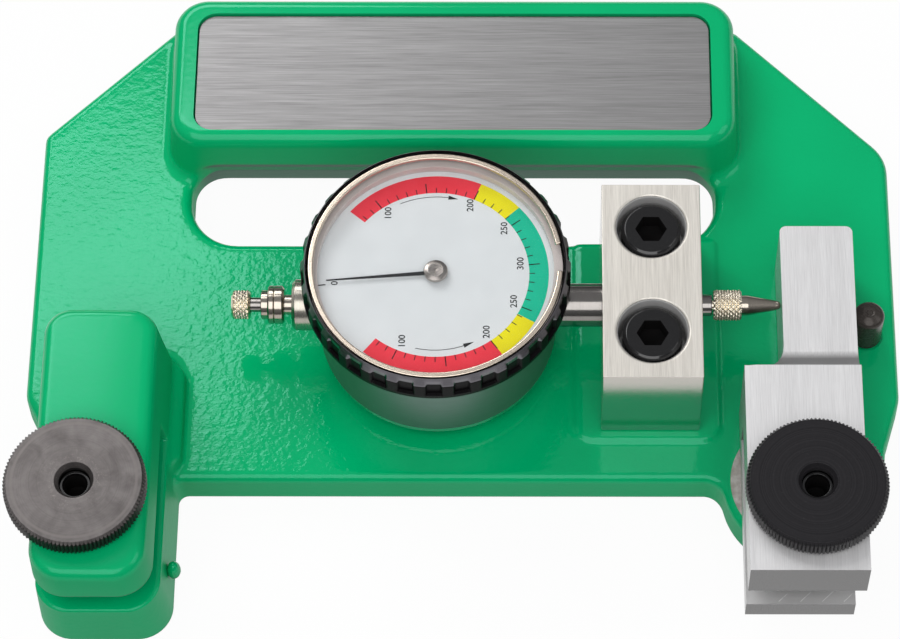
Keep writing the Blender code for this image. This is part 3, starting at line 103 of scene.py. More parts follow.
def mesh_piece(name, points, faces):
    mesh = bpy.data.meshes.new(name)
    mesh.from_pydata([tuple(p) for p in points], [], faces)
    mesh.validate()
    return placed(name, mesh)


def tidy(piece, outward=True, flat=0.0):
    """Doubles merged, faces that lie flat to within an angle joined, and faces turned outwards."""
    work = bmesh.new()
    work.from_mesh(piece.data)
    bmesh.ops.remove_doubles(work, verts=work.verts, dist=WELD)
    if flat:
        bmesh.ops.dissolve_limit(work, angle_limit=radians(flat), verts=work.verts, edges=work.edges)
    if outward:
        bmesh.ops.recalc_face_normals(work, faces=work.faces)
    work.to_mesh(piece.data)
    work.free()
    return piece


def settled(piece):
    """The piece with its modifiers worked into a plain mesh, at the origin."""
    bpy.context.view_layer.update()
    mesh = bpy.data.meshes.new_from_object(piece.evaluated_get(bpy.context.evaluated_depsgraph_get()))
    mesh.transform(piece.matrix_world)
    name = piece.name
    bpy.data.objects.remove(piece)
    return placed(name, mesh)


def fine_steps(low, high, count):
    return [low + (high - low) * k / count for k in range(count + 1)]


def eased(run, steps, closed=True):
    """Points (a, b, radius) as a run in which each corner with a radius is an arc."""
    out = []
    for i, (a, b, radius) in enumerate(run):
        if not radius or (not closed and i in (0, len(run) - 1)):
            out.append((a, b))
            continue
        here = Vector((a, b))
        back = (Vector(run[i - 1][:2]) - here).normalized()
        on = (Vector(run[(i + 1) % len(run)][:2]) - here).normalized()
        half = back.angle(on) / 2
        centre = here + (back + on).normalized() * radius / sin(half)
        start = here + back * radius / tan(half) - centre
        first = atan2(start.y, start.x)
        turn = copysign(pi - 2 * half, -back.x * on.y + back.y * on.x)
        for k in range(steps + 1):
            angle = first + turn * k / steps
            out.append((centre.x + radius * cos(angle), centre.y + radius * sin(angle)))
    return out


def wall(radius, top, bottom, count):
    """A plain wall of a profile, cut fine enough for a pattern."""
    return [(radius, height) for height in fine_steps(top, bottom, count)]


def circle(radius, at, steps):
    turns = fine_steps(0, 2 * pi, steps)[:-1]
    return [(at[0] + radius * cos(a), at[1] + radius * sin(a)) for a in turns]


def lathe(name, profile, at, steps, closed=False, ease=3):
    """A profile of (radius, height) or (radius, height, corner radius), turned round its axis.

    A closed profile makes a ring. An open one makes a solid: flat ends join it to the axis.
    """
    run = [(*p, 0) if len(p) == 2 else p for p in profile]
    if not closed:
        run = [(0, run[0][1], 0)] * (run[0][0] > 0) + run + [(0, run[-1][1], 0)] * (run[-1][0] > 0)
    points, rings = [], []
    for radius, height in eased(run, ease, closed):
        count = steps if radius > 1e-6 else 1
        rings.append([len(points) + k % count for k in range(steps)])
        points += [(x, y, height) for x, y in circle(radius, ORIGIN, steps)[:count]]
    faces = []
    for upper, lower in zip(rings, rings[1:] + rings[:1] * closed):
        for k in range(steps):
            on = (k + 1) % steps
            face = list(dict.fromkeys((upper[k], upper[on], lower[on], lower[k])))
            if len(face) > 2:
                faces.append(face)
    if at == STEM:
        points = [(z, y, STEM_HEIGHT - x) for x, y, z in points]
    else:
        points = [(x + at[0], y + at[1], z) for x, y, z in points]
    return tidy(mesh_piece(name, points, faces))


def slab(name, outline, low, high, holes=(), side=False):
    """A flat outline with holes and a thickness. Side stands it up: its plane is then Y and Z."""
    curve = bpy.data.curves.new(name, "CURVE")
    curve.dimensions = "2D"
    curve.fill_mode = "BOTH"
    curve.extrude = (high - low) / 2
    for run in (outline, *holes):
        spline = curve.splines.new("POLY")
        spline.points.add(len(run) - 1)
        for point, (x, y) in zip(spline.points, run):
            point.co = (x, y, 0, 1)
        spline.use_cyclic_u = True
    piece = settled(placed(name, curve))
    piece.data.transform(Matrix.Translation((0, 0, (low + high) / 2)))
    if side:
        piece.data.transform(Matrix(((0, 0, 1, 0), (1, 0, 0, 0), (0, 1, 0, 0), (0, 0, 0, 1))))
    return tidy(piece, flat=0.5)


def rectangle(left, right, front, rear, radius=0.0):
    return [(left, front, radius), (right, front, radius), (right, rear, radius), (left, rear, radius)]


def on_dial(reach, clock):
    """The point at a distance from the dial's centre, at a clock angle in degrees from twelve."""
    angle = radians(90 - clock)
    return DIAL[0] + reach * cos(angle), DIAL[1] + reach * sin(angle)


def sector(inner, outer, first, last, steps=48):
    """A flat band of the dial between two clock angles."""
    clocks = fine_steps(first, last, steps)
    return [on_dial(outer, clock) for clock in clocks] + [on_dial(inner, clock) for clock in reversed(clocks)]


def box(name, low, high):
    points = [(x, y, z) for x in (low[0], high[0]) for y in (low[1], high[1]) for z in (low[2], high[2])]
    faces = [(0, 1, 3, 2), (4, 6, 7, 5), (0, 4, 5, 1), (2, 3, 7, 6), (0, 2, 6, 4), (1, 5, 7, 3)]
    return tidy(mesh_piece(name, points, faces))


def machined(piece, *cutters, joins=(), edge=0.0, segments=2):
    """Pieces joined on, holes and steps cut, then every sharp edge broken by the width of an edge."""
    groups = []
    for operation, others in (("UNION", joins), ("DIFFERENCE", cutters)):
        if others:
            group = bpy.data.collections.new(operation)
            bpy.context.scene.collection.children.link(group)
            groups.append(group)
            for other in others:
                bpy.context.scene.collection.objects.unlink(other)
                group.objects.link(other)
            cut = piece.modifiers.new("cut", "BOOLEAN")
            cut.operation, cut.solver = operation, "EXACT"
            cut.operand_type, cut.collection = "COLLECTION", group
    piece = settled(piece)
    for group in groups:
        for other in list(group.objects):
            bpy.data.objects.remove(other)
        bpy.data.collections.remove(group)
    tidy(piece, outward=False, flat=0.3 if edge else 0.0)
    if edge:
        broken = piece.modifiers.new("edges", "BEVEL")
        broken.width, broken.segments = edge, segments
        broken.limit_method, broken.angle_limit = "ANGLE", radians(40)
        broken.use_clamp_overlap = True
        piece = settled(piece)
    return piece


def shade(piece, angle):
    """Smooth shading, with the flats' own direction kept at their edges."""
    piece.data.shade_smooth()
    piece.data.set_sharp_from_angle(angle=radians(angle))
    flats = piece.modifiers.new("flats", "WEIGHTED_NORMAL")
    flats.keep_sharp = True
    flats.weight = 50
    return settled(piece)


def dress(piece, finish):
    piece.data.materials.clear()
    piece.data.materials.append(finish)


def fit(piece, body, finish, slot, *nodes, angle=40, smooth=True):
    """The finished piece in metres, on its body, with its finish, standing for its nodes."""
    if smooth:
        piece = shade(piece, angle)
    piece.data.transform(Matrix.Scale(MM, 4))
    if finish:
        dress(piece, finish)
    piece.name = piece.name.split(".")[0] + "_fine"
    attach(piece, body)
    if nodes:
        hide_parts(*nodes)
    return piece


def painted(piece, finish, chosen):
    """A second finish on the faces whose centre is chosen, by its place in millimetres."""
    piece.data.materials.append(finish)
    for face in piece.data.polygons:
        face.material_index = int(chosen(*(face.center / MM)))


# ---- node trees

class Wiring:
    """A node tree under way, with short ways to add to it."""

    def __init__(self, tree):
        self.tree = tree

    def feed(self, value, socket):
        """Gives a socket a link or a plain value. None leaves it as it is."""
        if hasattr(value, "is_output"):
            self.tree.links.new(value, socket)
        elif value is not None:
            socket.default_value = value

    def add(self, kind, *inputs, **settings):
        """A node with its first inputs in order. Settings with a capital are inputs too, by their names."""
        node = self.tree.nodes.new(kind)
        for key, value in settings.items():
            if key[0].islower():
                setattr(node, key, value)
        for socket, value in zip(node.inputs, inputs):
            self.feed(value, socket)
        for key, value in settings.items():
            if key[0].isupper():
                self.feed(value, node.inputs[key.replace("_", " ")])
        return node

    def maths(self, operation, *values):
        return self.add("ShaderNodeMath", *values, operation=operation).outputs[0]

    def plus(self, *values):
        return self.maths("ADD", *values)

    def times(self, *values):
        return self.maths("MULTIPLY", *values)

    def vector(self, operation, *values, output="Vector", **settings):
        return self.add("ShaderNodeVectorMath", *values, operation=operation, **settings).outputs[output]

    def split(self, vector):
        return self.add("ShaderNodeSeparateXYZ", vector).outputs

    def combine(self, *parts):
        return self.add("ShaderNodeCombineXYZ", *parts).outputs[0]

    def span(self, source, *limits, **settings):
        """A value from one span, low and high, brought to another, by default 0 to 1, and held at its ends."""
        return self.add("ShaderNodeMapRange", source, *limits, **settings).outputs["Result"]

    def reach(self, where, axis="Z"):
        """The distance from an axis through the origin."""
        flat = self.vector("MULTIPLY", where, (1, 1, 0) if axis == "Z" else (0, 1, 1))
        return self.vector("LENGTH", flat, output="Value")


# ---- finishes

def toned(colour, share):
    return tuple(c * share for c in colour)


class Finish(Wiring):
    """A material under way."""

    def __init__(self, name, rough, metal=0.0, colour=(0.8, 0.8, 0.8), **sockets):
        self.material = bpy.data.materials.new(name)
        self.material.use_nodes = True
        super().__init__(self.material.node_tree)
        self.shader = self.tree.nodes["Principled BSDF"]
        self.wire(Base_Color=(*colour, 1), Roughness=rough, Metallic=metal, **sockets)

    def wire(self, **sockets):
        for key, value in sockets.items():
            self.feed(value, self.shader.inputs[key.replace("_", " ")])
        return self.material

    def place(self, scale=(1, 1, 1), offset=(0, 0, 0), turn=0.0):
        """Object coordinates in millimetres, stretched, moved and turned about Z as asked."""
        where = self.add("ShaderNodeTexCoord").outputs["Object"]
        return self.add("ShaderNodeMapping", where, Location=offset, Rotation=(0, 0, turn),
                        Scale=toned(scale, 1 / MM)).outputs["Vector"]

    def facing(self):
        """The parts of a face's own direction."""
        return self.split(self.add("ShaderNodeTexCoord").outputs["Normal"])

    def noise(self, where, scale, detail=2.0, rough=0.5, distort=0.0):
        return self.add("ShaderNodeTexNoise", Vector=where, Scale=scale, Detail=detail, Roughness=rough,
                        Distortion=distort).outputs["Fac"]

    def ramp(self, source, low, high):
        """From one colour to another over the middle of a noise."""
        node = self.add("ShaderNodeValToRGB", source)
        for element, at, colour in zip(node.color_ramp.elements, (0.3, 0.7), (low, high)):
            element.position = at
            element.color = (*colour, 1)
        return node.outputs["Color"]

    def blend(self, factor, first, second):
        """One colour over another by a factor."""
        node = self.add("ShaderNodeMix", data_type="RGBA")
        for socket, value in ((0, factor), (6, first), (7, second)):
            self.feed((*value, 1) if isinstance(value, tuple) else value, node.inputs[socket])
        return node.outputs[2]

    def bump(self, height, depth, after=None):
        """Relief of the given depth in millimetres."""
        return self.add("ShaderNodeBump", Distance=depth * MM, Height=height, Normal=after).outputs["Normal"]


def green_paint():
    """Gloss paint with an orange peel, duller on the flanks, and with painted shade on the faces that look down."""
    f = Finish("green_gloss_paint", 0.07, Specular_IOR_Level=0.4, Specular_Tint=(0.5, 1.0, 0.98, 1))
    where = f.place()
    height, upward = f.split(where)["Z"], f.facing()["Z"]
    fine = f.noise(where, 3.0)
    peel = f.noise(f.place((0.62, 0.76, 0.72), turn=0.35), 1.0, 2.0, 0.5, 0.25)
    peel = f.times(peel, f.span(height, 12, 22, 1.0, 0.3))
    colour = f.ramp(f.noise(where, 0.03, 3.0), (0.0, 0.43, 0.150), (0.0, 0.47, 0.168))
    # Painted shade: faces that look down get a much darker green.
    colour = f.blend(f.span(upward, -0.3, -0.1, 1, 0), colour, (0.0, 0.09, 0.032))
    rough = f.plus(f.span(fine, 0.3, 0.7, 0.05, 0.09), f.span(upward, 0.0, 0.6, 0.5, 0.0))
    rough = f.plus(rough, f.span(height, 20, 30, 0.0, 0.1))
    return f.wire(Base_Color=colour, Roughness=rough, Normal=f.bump(fine, 0.0012, after=f.bump(peel, 0.058)))


def bare_boss():
    """The spot-faced boss of the casting: dull milled aluminium, pale and granular."""
    f = Finish("bare_boss", 0.6, metal=0.6)
    where = f.place()
    grain = f.noise(where, 3.2, 4.0, 0.7)
    patches = f.span(f.noise(where, 0.5), 0.35, 0.65)
    return f.wire(Base_Color=f.blend(patches, (0.46, 0.42, 0.38), (0.68, 0.66, 0.63)),
                  Roughness=f.span(grain, 0.3, 0.7, 0.45, 0.75), Normal=f.bump(grain, 0.05))


def brushed(name, colour, dark, scale, rough, metal=1.0, side_rough=0.2, side=0.8, front=0.8, rear=0.8, low=1.0):
    """Metal with brush lines. The scale is small along the lines and large across them.

    Upright faces were milled, not brushed: they shine more. Painted shade darkens upright, front and rear faces,
    and a slot's floor too: the last four are shares of the colour for that painted shade.
    """
    f = Finish(name, rough, metal)
    lines = f.noise(f.place(scale), 1.0, 5.0, 0.62, 0.12)
    broad = f.noise(f.place(toned(scale, 1 / 7)), 1.0)
    tone = f.plus(f.times(lines, 0.7), f.times(broad, 0.3))
    shine = f.blend(f.span(tone, 0.36, 0.62), dark, colour)
    shine = f.blend(f.span(f.noise(f.place(), 0.16, 3.0), 0.5, 0.75, 0, 0.35), shine, toned(colour, 0.86))
    # Painted shade: on a slot's floor, below 15.6 to 17 mm high, the colour drops to the share low.
    if low < 1:
        floor = f.span(f.split(f.place())["Z"], 15.6, 17.0, 1, 0)
        shine = f.blend(floor, shine, toned(colour, low))
    facing = f.facing()
    upright = f.span(f.maths("ABSOLUTE", facing["Z"]), 0.5, 0.9, 1, 0)
    ahead = f.span(f.times(facing["Y"], -1), 0.5, 0.9)
    behind = f.span(facing["Y"], 0.08, 0.4)
    # Painted shade: upright faces and faces that look to the front or the rear are darkened to their shares of the
    # colour.
    for wall_share, shade_share in ((upright, side), (ahead, front), (behind, rear)):
        shine = f.blend(wall_share, shine, toned(colour, shade_share))
    wide = f.span(lines, 0.3, 0.7, rough + 0.08, rough - 0.06)
    wide = f.plus(wide, f.times(upright, side_rough - rough))
    return f.wire(Base_Color=shine, Roughness=wide, Normal=f.bump(lines, 0.01),
                  Metallic=f.span(ahead, 0, 1, metal, 1.0))


def turned_metal(name, colour, rough, axis, depth, pitch, tint=0.85, metal=1.0):
    """Metal off a lathe: fine rings round its axis and a few soft stains."""
    f = Finish(name, rough, metal)
    way = "X" if axis == STEM else "Z"
    where = f.place(offset=toned((*axis, 0)[:3], -1))
    grooves = f.noise(f.combine(f.reach(where, way), f.split(where)[way]), pitch, 3.0, 0.6)
    stains = f.noise(where, 0.35, 3.0, 0.6)
    tone = f.blend(f.span(stains, 0.4, 0.75, 0, 0.6), colour, toned(colour, tint))
    tone = f.blend(f.span(grooves, 0.35, 0.65, 0.25, 0), tone, toned(colour, 0.6))
    return f.wire(Base_Color=tone, Normal=f.bump(grooves, depth),
                  Roughness=f.span(grooves, 0.3, 0.7, rough + 0.06, max(rough - 0.05, 0.02)))


def worn_oxide(axis):
    """Blackened steel rubbed to a brown grey: lighter at the rim, ringed by the tool and marked round the hole, with
    painted shade making its flanks near black.
    """
    f = Finish("worn_oxide", 0.42, metal=0.75)
    where = f.place()
    reach = f.reach(f.place(offset=toned((*axis, 0), -1)))
    smear = f.noise(where, 0.22, 4.0, 0.6, 0.4)
    marks = f.noise(where, 1.5, 4.0, 0.75, 1.4)
    grooves = f.noise(f.combine(reach), 2.4, 4.0, 0.7)
    rim = f.maths("ABSOLUTE", f.maths("SUBTRACT", reach, 13.1))
    worn = f.times(f.span(marks, 0.56, 0.7, 0, 0.8), f.span(reach, 5, 8.5, 1, 0))
    tone = f.ramp(smear, (0.098, 0.088, 0.086), (0.19, 0.174, 0.170))
    # The last share is painted shade: faces that do not look up are made near black.
    for share, colour in ((f.span(grooves, 0.5, 0.72, 0, 0.45), (0.075, 0.065, 0.062)),
                          (f.span(rim, 0.1, 0.45, 0.6, 0), (0.19, 0.172, 0.165)),
                          (worn, (0.30, 0.27, 0.25)),
                          (f.span(f.facing()["Z"], 0.3, 0.6, 1, 0), (0.022, 0.019, 0.018))):
        tone = f.blend(share, tone, colour)
    return f.wire(Base_Color=tone, Roughness=f.span(smear, 0.3, 0.7, 0.34, 0.48),
                  Normal=f.bump(f.noise(where, 5.5, 3.0, 0.6), 0.01))


def black_oxide(name, rough, axis, pitch, low, high, oil=0.0):
    """Blackened steel, near black, with faint turning marks and a film of oil."""
    f = Finish(name, rough, metal=0.3, Specular_IOR_Level=0.2, Coat_Weight=oil, Coat_Roughness=0.05)
    where = f.place(offset=toned((*axis, 0), -1))
    grooves = f.noise(f.combine(f.reach(where)), pitch, 4.0, 0.7)
    dust = f.noise(where, 2.2, 4.0, 0.7, 0.8)
    tone = f.blend(f.span(dust, 0.62, 0.8, 0, 0.5), f.ramp(grooves, low, high), (0.07, 0.068, 0.068))
    return f.wire(Base_Color=tone, Roughness=f.span(dust, 0.35, 0.65, rough - 0.05, rough + 0.12),
                  Normal=f.bump(grooves, 0.012))


def moulded(name, low, high, rough, gloss=0.5):
    """Plain plastic with a fine satin grain."""
    f = Finish(name, rough, Specular_IOR_Level=gloss)
    where = f.place()
    grain = f.noise(where, 4.0, 3.0, 0.6)
    return f.wire(Base_Color=f.ramp(f.noise(where, 0.12), low, high), Normal=f.bump(grain, 0.012),
                  Roughness=f.span(grain, 0.3, 0.7, rough - 0.06, rough + 0.08))


def printed(name, low, high, rough=0.5):
    """Ink or enamel, slightly uneven; it also makes the near-black painted shade of the sockets."""
    f = Finish(name, rough, Specular_IOR_Level=0.15)
    where = f.place()
    grain = f.noise(where, 6.0)
    return f.wire(Base_Color=f.ramp(f.noise(where, 0.2), low, high), Normal=f.bump(grain, 0.002),
                  Roughness=f.span(grain, 0.3, 0.7, rough - 0.05, rough + 0.08))


def acrylic():
    """Clear plastic with a faint haze."""
    f = Finish("clear_acrylic", 0.03, colour=(0.2, 0.22, 0.23), Alpha=0.04, IOR=1.49, Specular_IOR_Level=0.3)
    return f.wire(Roughness=f.span(f.noise(f.place(), 0.4), 0.3, 0.7, 0.02, 0.06))


# ---- casting

def corner_in(a, b, radius):
    """Where two distance fields overlap, with the outer edge rounded."""
    return np.minimum(-radius, np.maximum(a, b)) + np.hypot(np.maximum(radius + a, 0), np.maximum(radius + b, 0))


def fillet(a, b, radius):
    """Both distance fields, with the inner corner between them filled."""
    return np.maximum(radius, np.minimum(a, b)) - np.hypot(np.maximum(radius - a, 0), np.maximum(radius - b, 0))


def cut_out(a, b, radius):
    return corner_in(a, -b, radius)


def convex(x, y, run):
    """Distance outside a convex outline that runs anticlockwise."""
    return np.maximum.reduce([((x - a[0]) * (b[1] - a[1]) - (y - a[1]) * (b[0] - a[0])) / dist(a, b)
                              for a, b in zip(run, run[1:] + run[:1])])


PLATE_RUN = eased([(-93.7, 52.2, 3.0), (-93.7, -15.0, 8.0), (-83.6, -35.2, 2.0), (92.9, -35.2, 2.0), (98.8, -15.0, 8.0),
                   (98.8, 47.1, 10.0), (64.8, 81.1, 3.0), (-64.8, 81.1, 3.0)], 7)


def rounded_block(x, y, left, right, front, rear, front_radius, rear_radius):
    """Distance to an upright block whose sides may lean, as they may depend on the height."""
    middle_x, middle_y = (left + right) / 2, (front + rear) / 2
    radius = np.where(y < middle_y, front_radius, rear_radius)
    qx = np.abs(x - middle_x) - (right - left) / 2 + radius
    qy = np.abs(y - middle_y) - (rear - front) / 2 + radius
    return np.minimum(np.maximum(qx, qy), 0) + np.hypot(np.maximum(qx, 0), np.maximum(qy, 0)) - radius


def casting_field(x, y, z):
    """Signed distance to the painted casting, in millimetres."""
    lobe = np.hypot(x - PIVOT[0], y - PIVOT[1]) - 17.2
    plan = fillet(convex(x, y, PLATE_RUN), lobe, 4.0)
    body = corner_in(plan, z - PLATE_TOP, 1.9)

    pad = rounded_block(x, y, 27.5, 59.0, -25.7, 24.2, 4.0, 1.0)
    body = fillet(body, corner_in(pad, z - PLATE_TOP - 0.9, 0.8), 1.4)

    grip_top = 24.0
    draft = 1.7 * (z / grip_top)
    grip = rounded_block(x, y, -65.3 + draft, 65.3 - draft, 40.0 + draft, 81.9 - draft, 7.5, 7.5)
    body = fillet(body, corner_in(grip, z - grip_top, 2.9), 2.6)

    rear = np.where(z < 14.2, 46.0 - 5.1 * z / 14.2, 40.9)
    hole = rounded_block(x, y, -59.2, 59.2, 24.1, rear, 10.8, 7.0)
    body = cut_out(body, corner_in(hole, z - 13.6, 1.5), 2.3)

    share = z / JAW_TOP
    jaw = rounded_block(x, y, -88.2 + 1.2 * share, -59.4 - 3.5 * share, -69.2 + 0.3 * share, -4.4 - 0.8 * share,
                        7.5, 6.0)
    crown = np.maximum(x + 84.0, 0) ** 2 / 700
    jaw = corner_in(jaw, z - JAW_TOP + crown, 2.4)
    foot_top = 13.5
    foot = rounded_block(x, y, -80.7, -57.7 - 0.8 * z / foot_top, -33.4, -8.8, 3.0, 3.0)
    body = fillet(body, corner_in(foot, z - foot_top, 1.6), 1.1)
    body = fillet(body, jaw, 2.2)
    slot = corner_in(np.maximum(SLOT_FLOOR - z, z - SLOT_ROOF), y + 28.5, 0.5)
    body = cut_out(body, slot, 0.6)

    return corner_in(body, -z, 0.8)


def lines(end, *stops, coarse=1.0):
    """Grid places up to the end, from (place, step) pairs: each step holds up to the next place."""
    out = [stops[0][0]]
    for (here, step), there in zip(stops, [place for place, _ in stops[1:]] + [end]):
        out += fine_steps(here, there, max(1, round((there - here) / (step * coarse))))[1:]
    return np.array(out)


def skin(field, xs, ys, zs):
    """The surface where a distance field is nothing: one corner in each grid cell that it crosses."""
    grid = np.meshgrid(xs, ys, zs, indexing="ij")
    value = field(*grid)
    cells = [n - 1 for n in value.shape]

    def ends(axis, across):
        """Picks the low and the high end of each grid edge along an axis."""
        return [tuple(end if k == axis else across for k in range(3)) for end in (slice(None, -1), slice(1, None))]

    total, count = np.zeros((*cells, 3)), np.zeros(cells)
    for axis in range(3):
        low, high = ends(axis, slice(None))
        a, b = value[low], value[high]
        crossed = (a < 0) != (b < 0)
        share = np.where(crossed, a / np.where(crossed, a - b, 1), 0)
        spot = [grid[k][low] for k in range(3)]
        spot[axis] = spot[axis] + share * (grid[axis][high] - grid[axis][low])
        for shift in np.ndindex(2, 2):
            pick = tuple(slice(s, s + n) for s, n in zip(np.insert(shift, axis, 0), cells))
            count += crossed[pick]
            for k in range(3):
                total[..., k] += np.where(crossed[pick], spot[k][pick], 0)
    used = count > 0
    number = -np.ones(cells, int)
    number[used] = np.arange(used.sum())

    # The corners are drawn onto the surface itself
    points = total[used] / count[used][:, None]
    reach, furthest = 0.01, 0.3
    for _ in range(5):
        here = field(*points.T)
        slope = np.stack([(field(*(points + step).T) - field(*(points - step).T)) / (2 * reach)
                          for step in np.eye(3) * reach], -1)
        size = (slope ** 2).sum(-1)
        move = -(here / np.maximum(size, 0.2))[:, None] * slope
        points = points + np.clip(move, -furthest, furthest)

    faces = []
    for axis in range(3):
        low, high = ends(axis, slice(1, -1))
        a, b = value[low] < 0, value[high] < 0
        at = np.argwhere(a != b)
        out = a[tuple(at.T)] != (axis == 1)
        quads = np.stack([number[tuple((at + np.insert(shift, axis, 0)).T)]
                          for shift in ((1, 1), (0, 1), (0, 0), (1, 0))], -1)
        quads[~out] = quads[~out][:, ::-1]
        faces.append(quads)
    return points, np.concatenate(faces)


def casting():
    coarse = 1.0
    xs = lines(101, (-96, 0.55), (-84, 1.1), (-68, 0.6), (-54, 1.6), (54, 0.6), (68, 1.1), (90, 0.6), coarse=coarse)
    ys = lines(84, (-71, 0.55), (-54, 0.9), (-38, 0.5), (-24, 0.9), (-10, 0.6), (-2, 1.2), (20, 0.6), (52, 1.2),
               (74, 0.55), coarse=coarse)
    zs = lines(33.6, (-1.2, 0.6), (0, 0.35), (1.2, 1.0), (6.4, 0.35), (13.2, 0.45), (16.2, 0.9), (20.7, 0.45))
    points, faces = skin(casting_field, xs, ys, zs)
    piece = mesh_piece("casting", points, faces.tolist())
    recess = slab("recess", eased(rectangle(-58.4, 58.4, 44.7, 75.7, 4.3), 10), 21.5, 27.0)
    holes = [lathe("clamp_hole", [(4.3, 36), (4.3, 22.0)], LEFT_CLAMP, 32),
             lathe("pivot_bore", [(6.38, 9.6), (6.38, 4.0), (8.5, 4.0), (8.5, -1)], PIVOT, 48),
             lathe("stop_hole", [(3.75, 10), (3.75, 8.6), (2.8, 8.6), (2.8, 3.0)], STOP_PIN, 32),
             *[lathe("tapped", [(4.3, 11), (4.3, 1.2)], at, 32) for at in SCREWS]]
    paint, bare = green_paint(), bare_boss()
    fit(machined(piece, recess, *holes), "frame", paint, "paint", "frame_casting", angle=50)
    lump = lathe("gate_mark", [(sin(a), cos(a)) for a in fine_steps(0, pi, 10)], ORIGIN, 20)
    lump.data.transform(Matrix.Translation((-59.0, -56.4, 8.6)) @ Matrix.Diagonal((1.5, 1.7, 2.7, 1)))
    fit(lump, "frame", paint, "paint")
    ring = [(6.45, 9.1, 0.1), (15.5, 9.1, 0.08), (15.6, 8.8), (6.45, 8.8)]
    fit(lathe("boss_face", ring, PIVOT, 128, closed=True), "frame", bare, "aluminium")


# ---- patterns that repeat

class Grower(Wiring):
    """A geometry tree under way, with named inputs."""

    def __init__(self, name, **inputs):
        super().__init__(bpy.data.node_groups.new(name, "GeometryNodeTree"))
        self.socket("Geometry", "INPUT", "Geometry")
        for key, value in inputs.items():
            self.socket(key, "INPUT", "Int" if isinstance(value, int) else "Float").default_value = value
        self.socket("Finish", "INPUT", "Material")
        self.socket("Geometry", "OUTPUT", "Geometry")
        self.source = self.add("NodeGroupInput")

    def __getitem__(self, name):
        return self.source.outputs[name]

    def socket(self, name, way, kind):
        return self.tree.interface.new_socket(name, in_out=way, socket_type="NodeSocket" + kind)

    def ends(self, geometry):
        real = self.add("GeometryNodeRealizeInstances", geometry).outputs[0]
        dressed = self.add("GeometryNodeSetMaterial", real, Material=self["Finish"]).outputs[0]
        self.add("NodeGroupOutput", dressed)
        return self.tree


def grown(piece, tree, finish, **values):
    """The piece with a tree's pattern worked into its plain mesh."""
    modifier = piece.modifiers.new("pattern", "NODES")
    modifier.node_group = tree
    values["Finish"] = finish
    for item in tree.interface.items_tree:
        if item.in_out == "INPUT" and item.name in values:
            modifier[item.identifier] = values[item.name]
    return settled(piece)


def rim_pattern():
    """Works ridges into a round piece that stands on Z: straight, crossed or wound, by its inputs.

    The wave counts the ridges round the axis. Twist turns them per millimetre of height, and Crossed
    lays a second set the other way. Sharpness is the flank's share of a ridge. No groove goes below Root.
    """
    g = Grower("rim_pattern", Ridges=40, Depth=0.5, Twist=0.0, Crossed=0.0, Sharpness=1.0, Inner=1.0, Low=0.0,
               High=1.0, Root=0.0)
    m = g.maths
    spot = g.add("GeometryNodeInputPosition").outputs[0]
    x, y, z = g.split(spot)
    turn = g.times(m("DIVIDE", m("ARCTAN2", y, x), 2 * pi), g["Ridges"])
    rise = g.times(z, g["Twist"])

    def ridge(way):
        wave = m("FRACT", g.plus(m(way, turn, rise), 1000.0))
        height = m("ABSOLUTE", m("SUBTRACT", g.times(wave, 2.0), 1.0))
        return m("MINIMUM", m("DIVIDE", height, g["Sharpness"]), 1.0)

    second = m("MAXIMUM", ridge("SUBTRACT"), m("SUBTRACT", 1.0, g["Crossed"]))
    height = m("MINIMUM", ridge("ADD"), second)
    away = g.reach(spot)
    sunk = g.times(m("SUBTRACT", height, 1.0), g["Depth"])
    sunk = m("MAXIMUM", sunk, m("MINIMUM", m("SUBTRACT", g["Root"], away), 0.0))
    outward = g.vector("NORMALIZE", g.combine(x, y, 0.0))
    tall = g.times(m("GREATER_THAN", z, g["Low"]), m("LESS_THAN", z, g["High"]))
    chosen = g.times(m("GREATER_THAN", away, g["Inner"]), tall)
    moved = g.add("GeometryNodeSetPosition", g["Geometry"], Selection=m("GREATER_THAN", chosen, 0.5),
                  Offset=g.vector("SCALE", outward, Scale=sunk))
    return g.ends(moved.outputs[0])


def dial_ticks():
    """Thin bars on an arc, each pointing at the dial's centre."""
    g = Grower("dial_ticks", Count=45, First=0.0, Step=6.0, Inner=19.6, Length=1.3, Width=0.16, Rise=38.1, Thick=0.02)
    m = g.maths
    line = g.add("GeometryNodeMeshLine", mode="OFFSET", Count=g["Count"], Offset=(0, 0, 0)).outputs[0]
    index = g.add("GeometryNodeInputIndex").outputs[0]
    clock = g.plus(g["First"], g.times(index, g["Step"]))
    angle = m("RADIANS", m("SUBTRACT", 90.0, clock))
    reach = g.plus(g["Inner"], m("DIVIDE", g["Length"], 2.0))
    spot = [g.plus(g.times(m(way, angle), reach), middle) for way, middle in zip(("COSINE", "SINE"), DIAL)]
    moved = g.add("GeometryNodeSetPosition", line, Position=g.combine(*spot, g["Rise"])).outputs[0]
    bar = g.add("GeometryNodeMeshCube", g.combine(g["Length"], g["Width"], g["Thick"])).outputs[0]
    spread = g.add("GeometryNodeInstanceOnPoints", moved, Instance=bar, Rotation=g.combine(0.0, 0.0, angle))
    return g.ends(spread.outputs[0])


RIDGES = rim_pattern()
TICKS = dial_ticks()


def ridged(name, profile, at, steps, finish, *patterns, closed=False):
    """A round piece with ridges worked into its walls at the origin, and then brought to its axis."""
    piece = lathe(name, profile, ORIGIN, steps, closed)
    for pattern in patterns:
        piece = grown(piece, RIDGES, finish, **pattern)
    lying = Matrix(((0, 0, 1, 0), (0, 1, 0, 0), (-1, 0, 0, STEM_HEIGHT), (0, 0, 0, 1)))
    piece.data.transform(lying if at == STEM else Matrix.Translation((*at, 0)))
    return piece


def thread(depth, inner, low, high):
    return dict(Ridges=1, Depth=depth, Twist=1 / THREAD_PITCH, Inner=inner, Low=low, High=high)


# ---- fixed metal pieces

def name_plate(finish):
    piece = slab("name_plate", eased(rectangle(-58.1, 58.1, 45.0, 75.4, 4.0), 10), 21.8, 23.3)
    fit(machined(piece, edge=0.15), "frame", finish, "stainless_brushed", "name_plate")


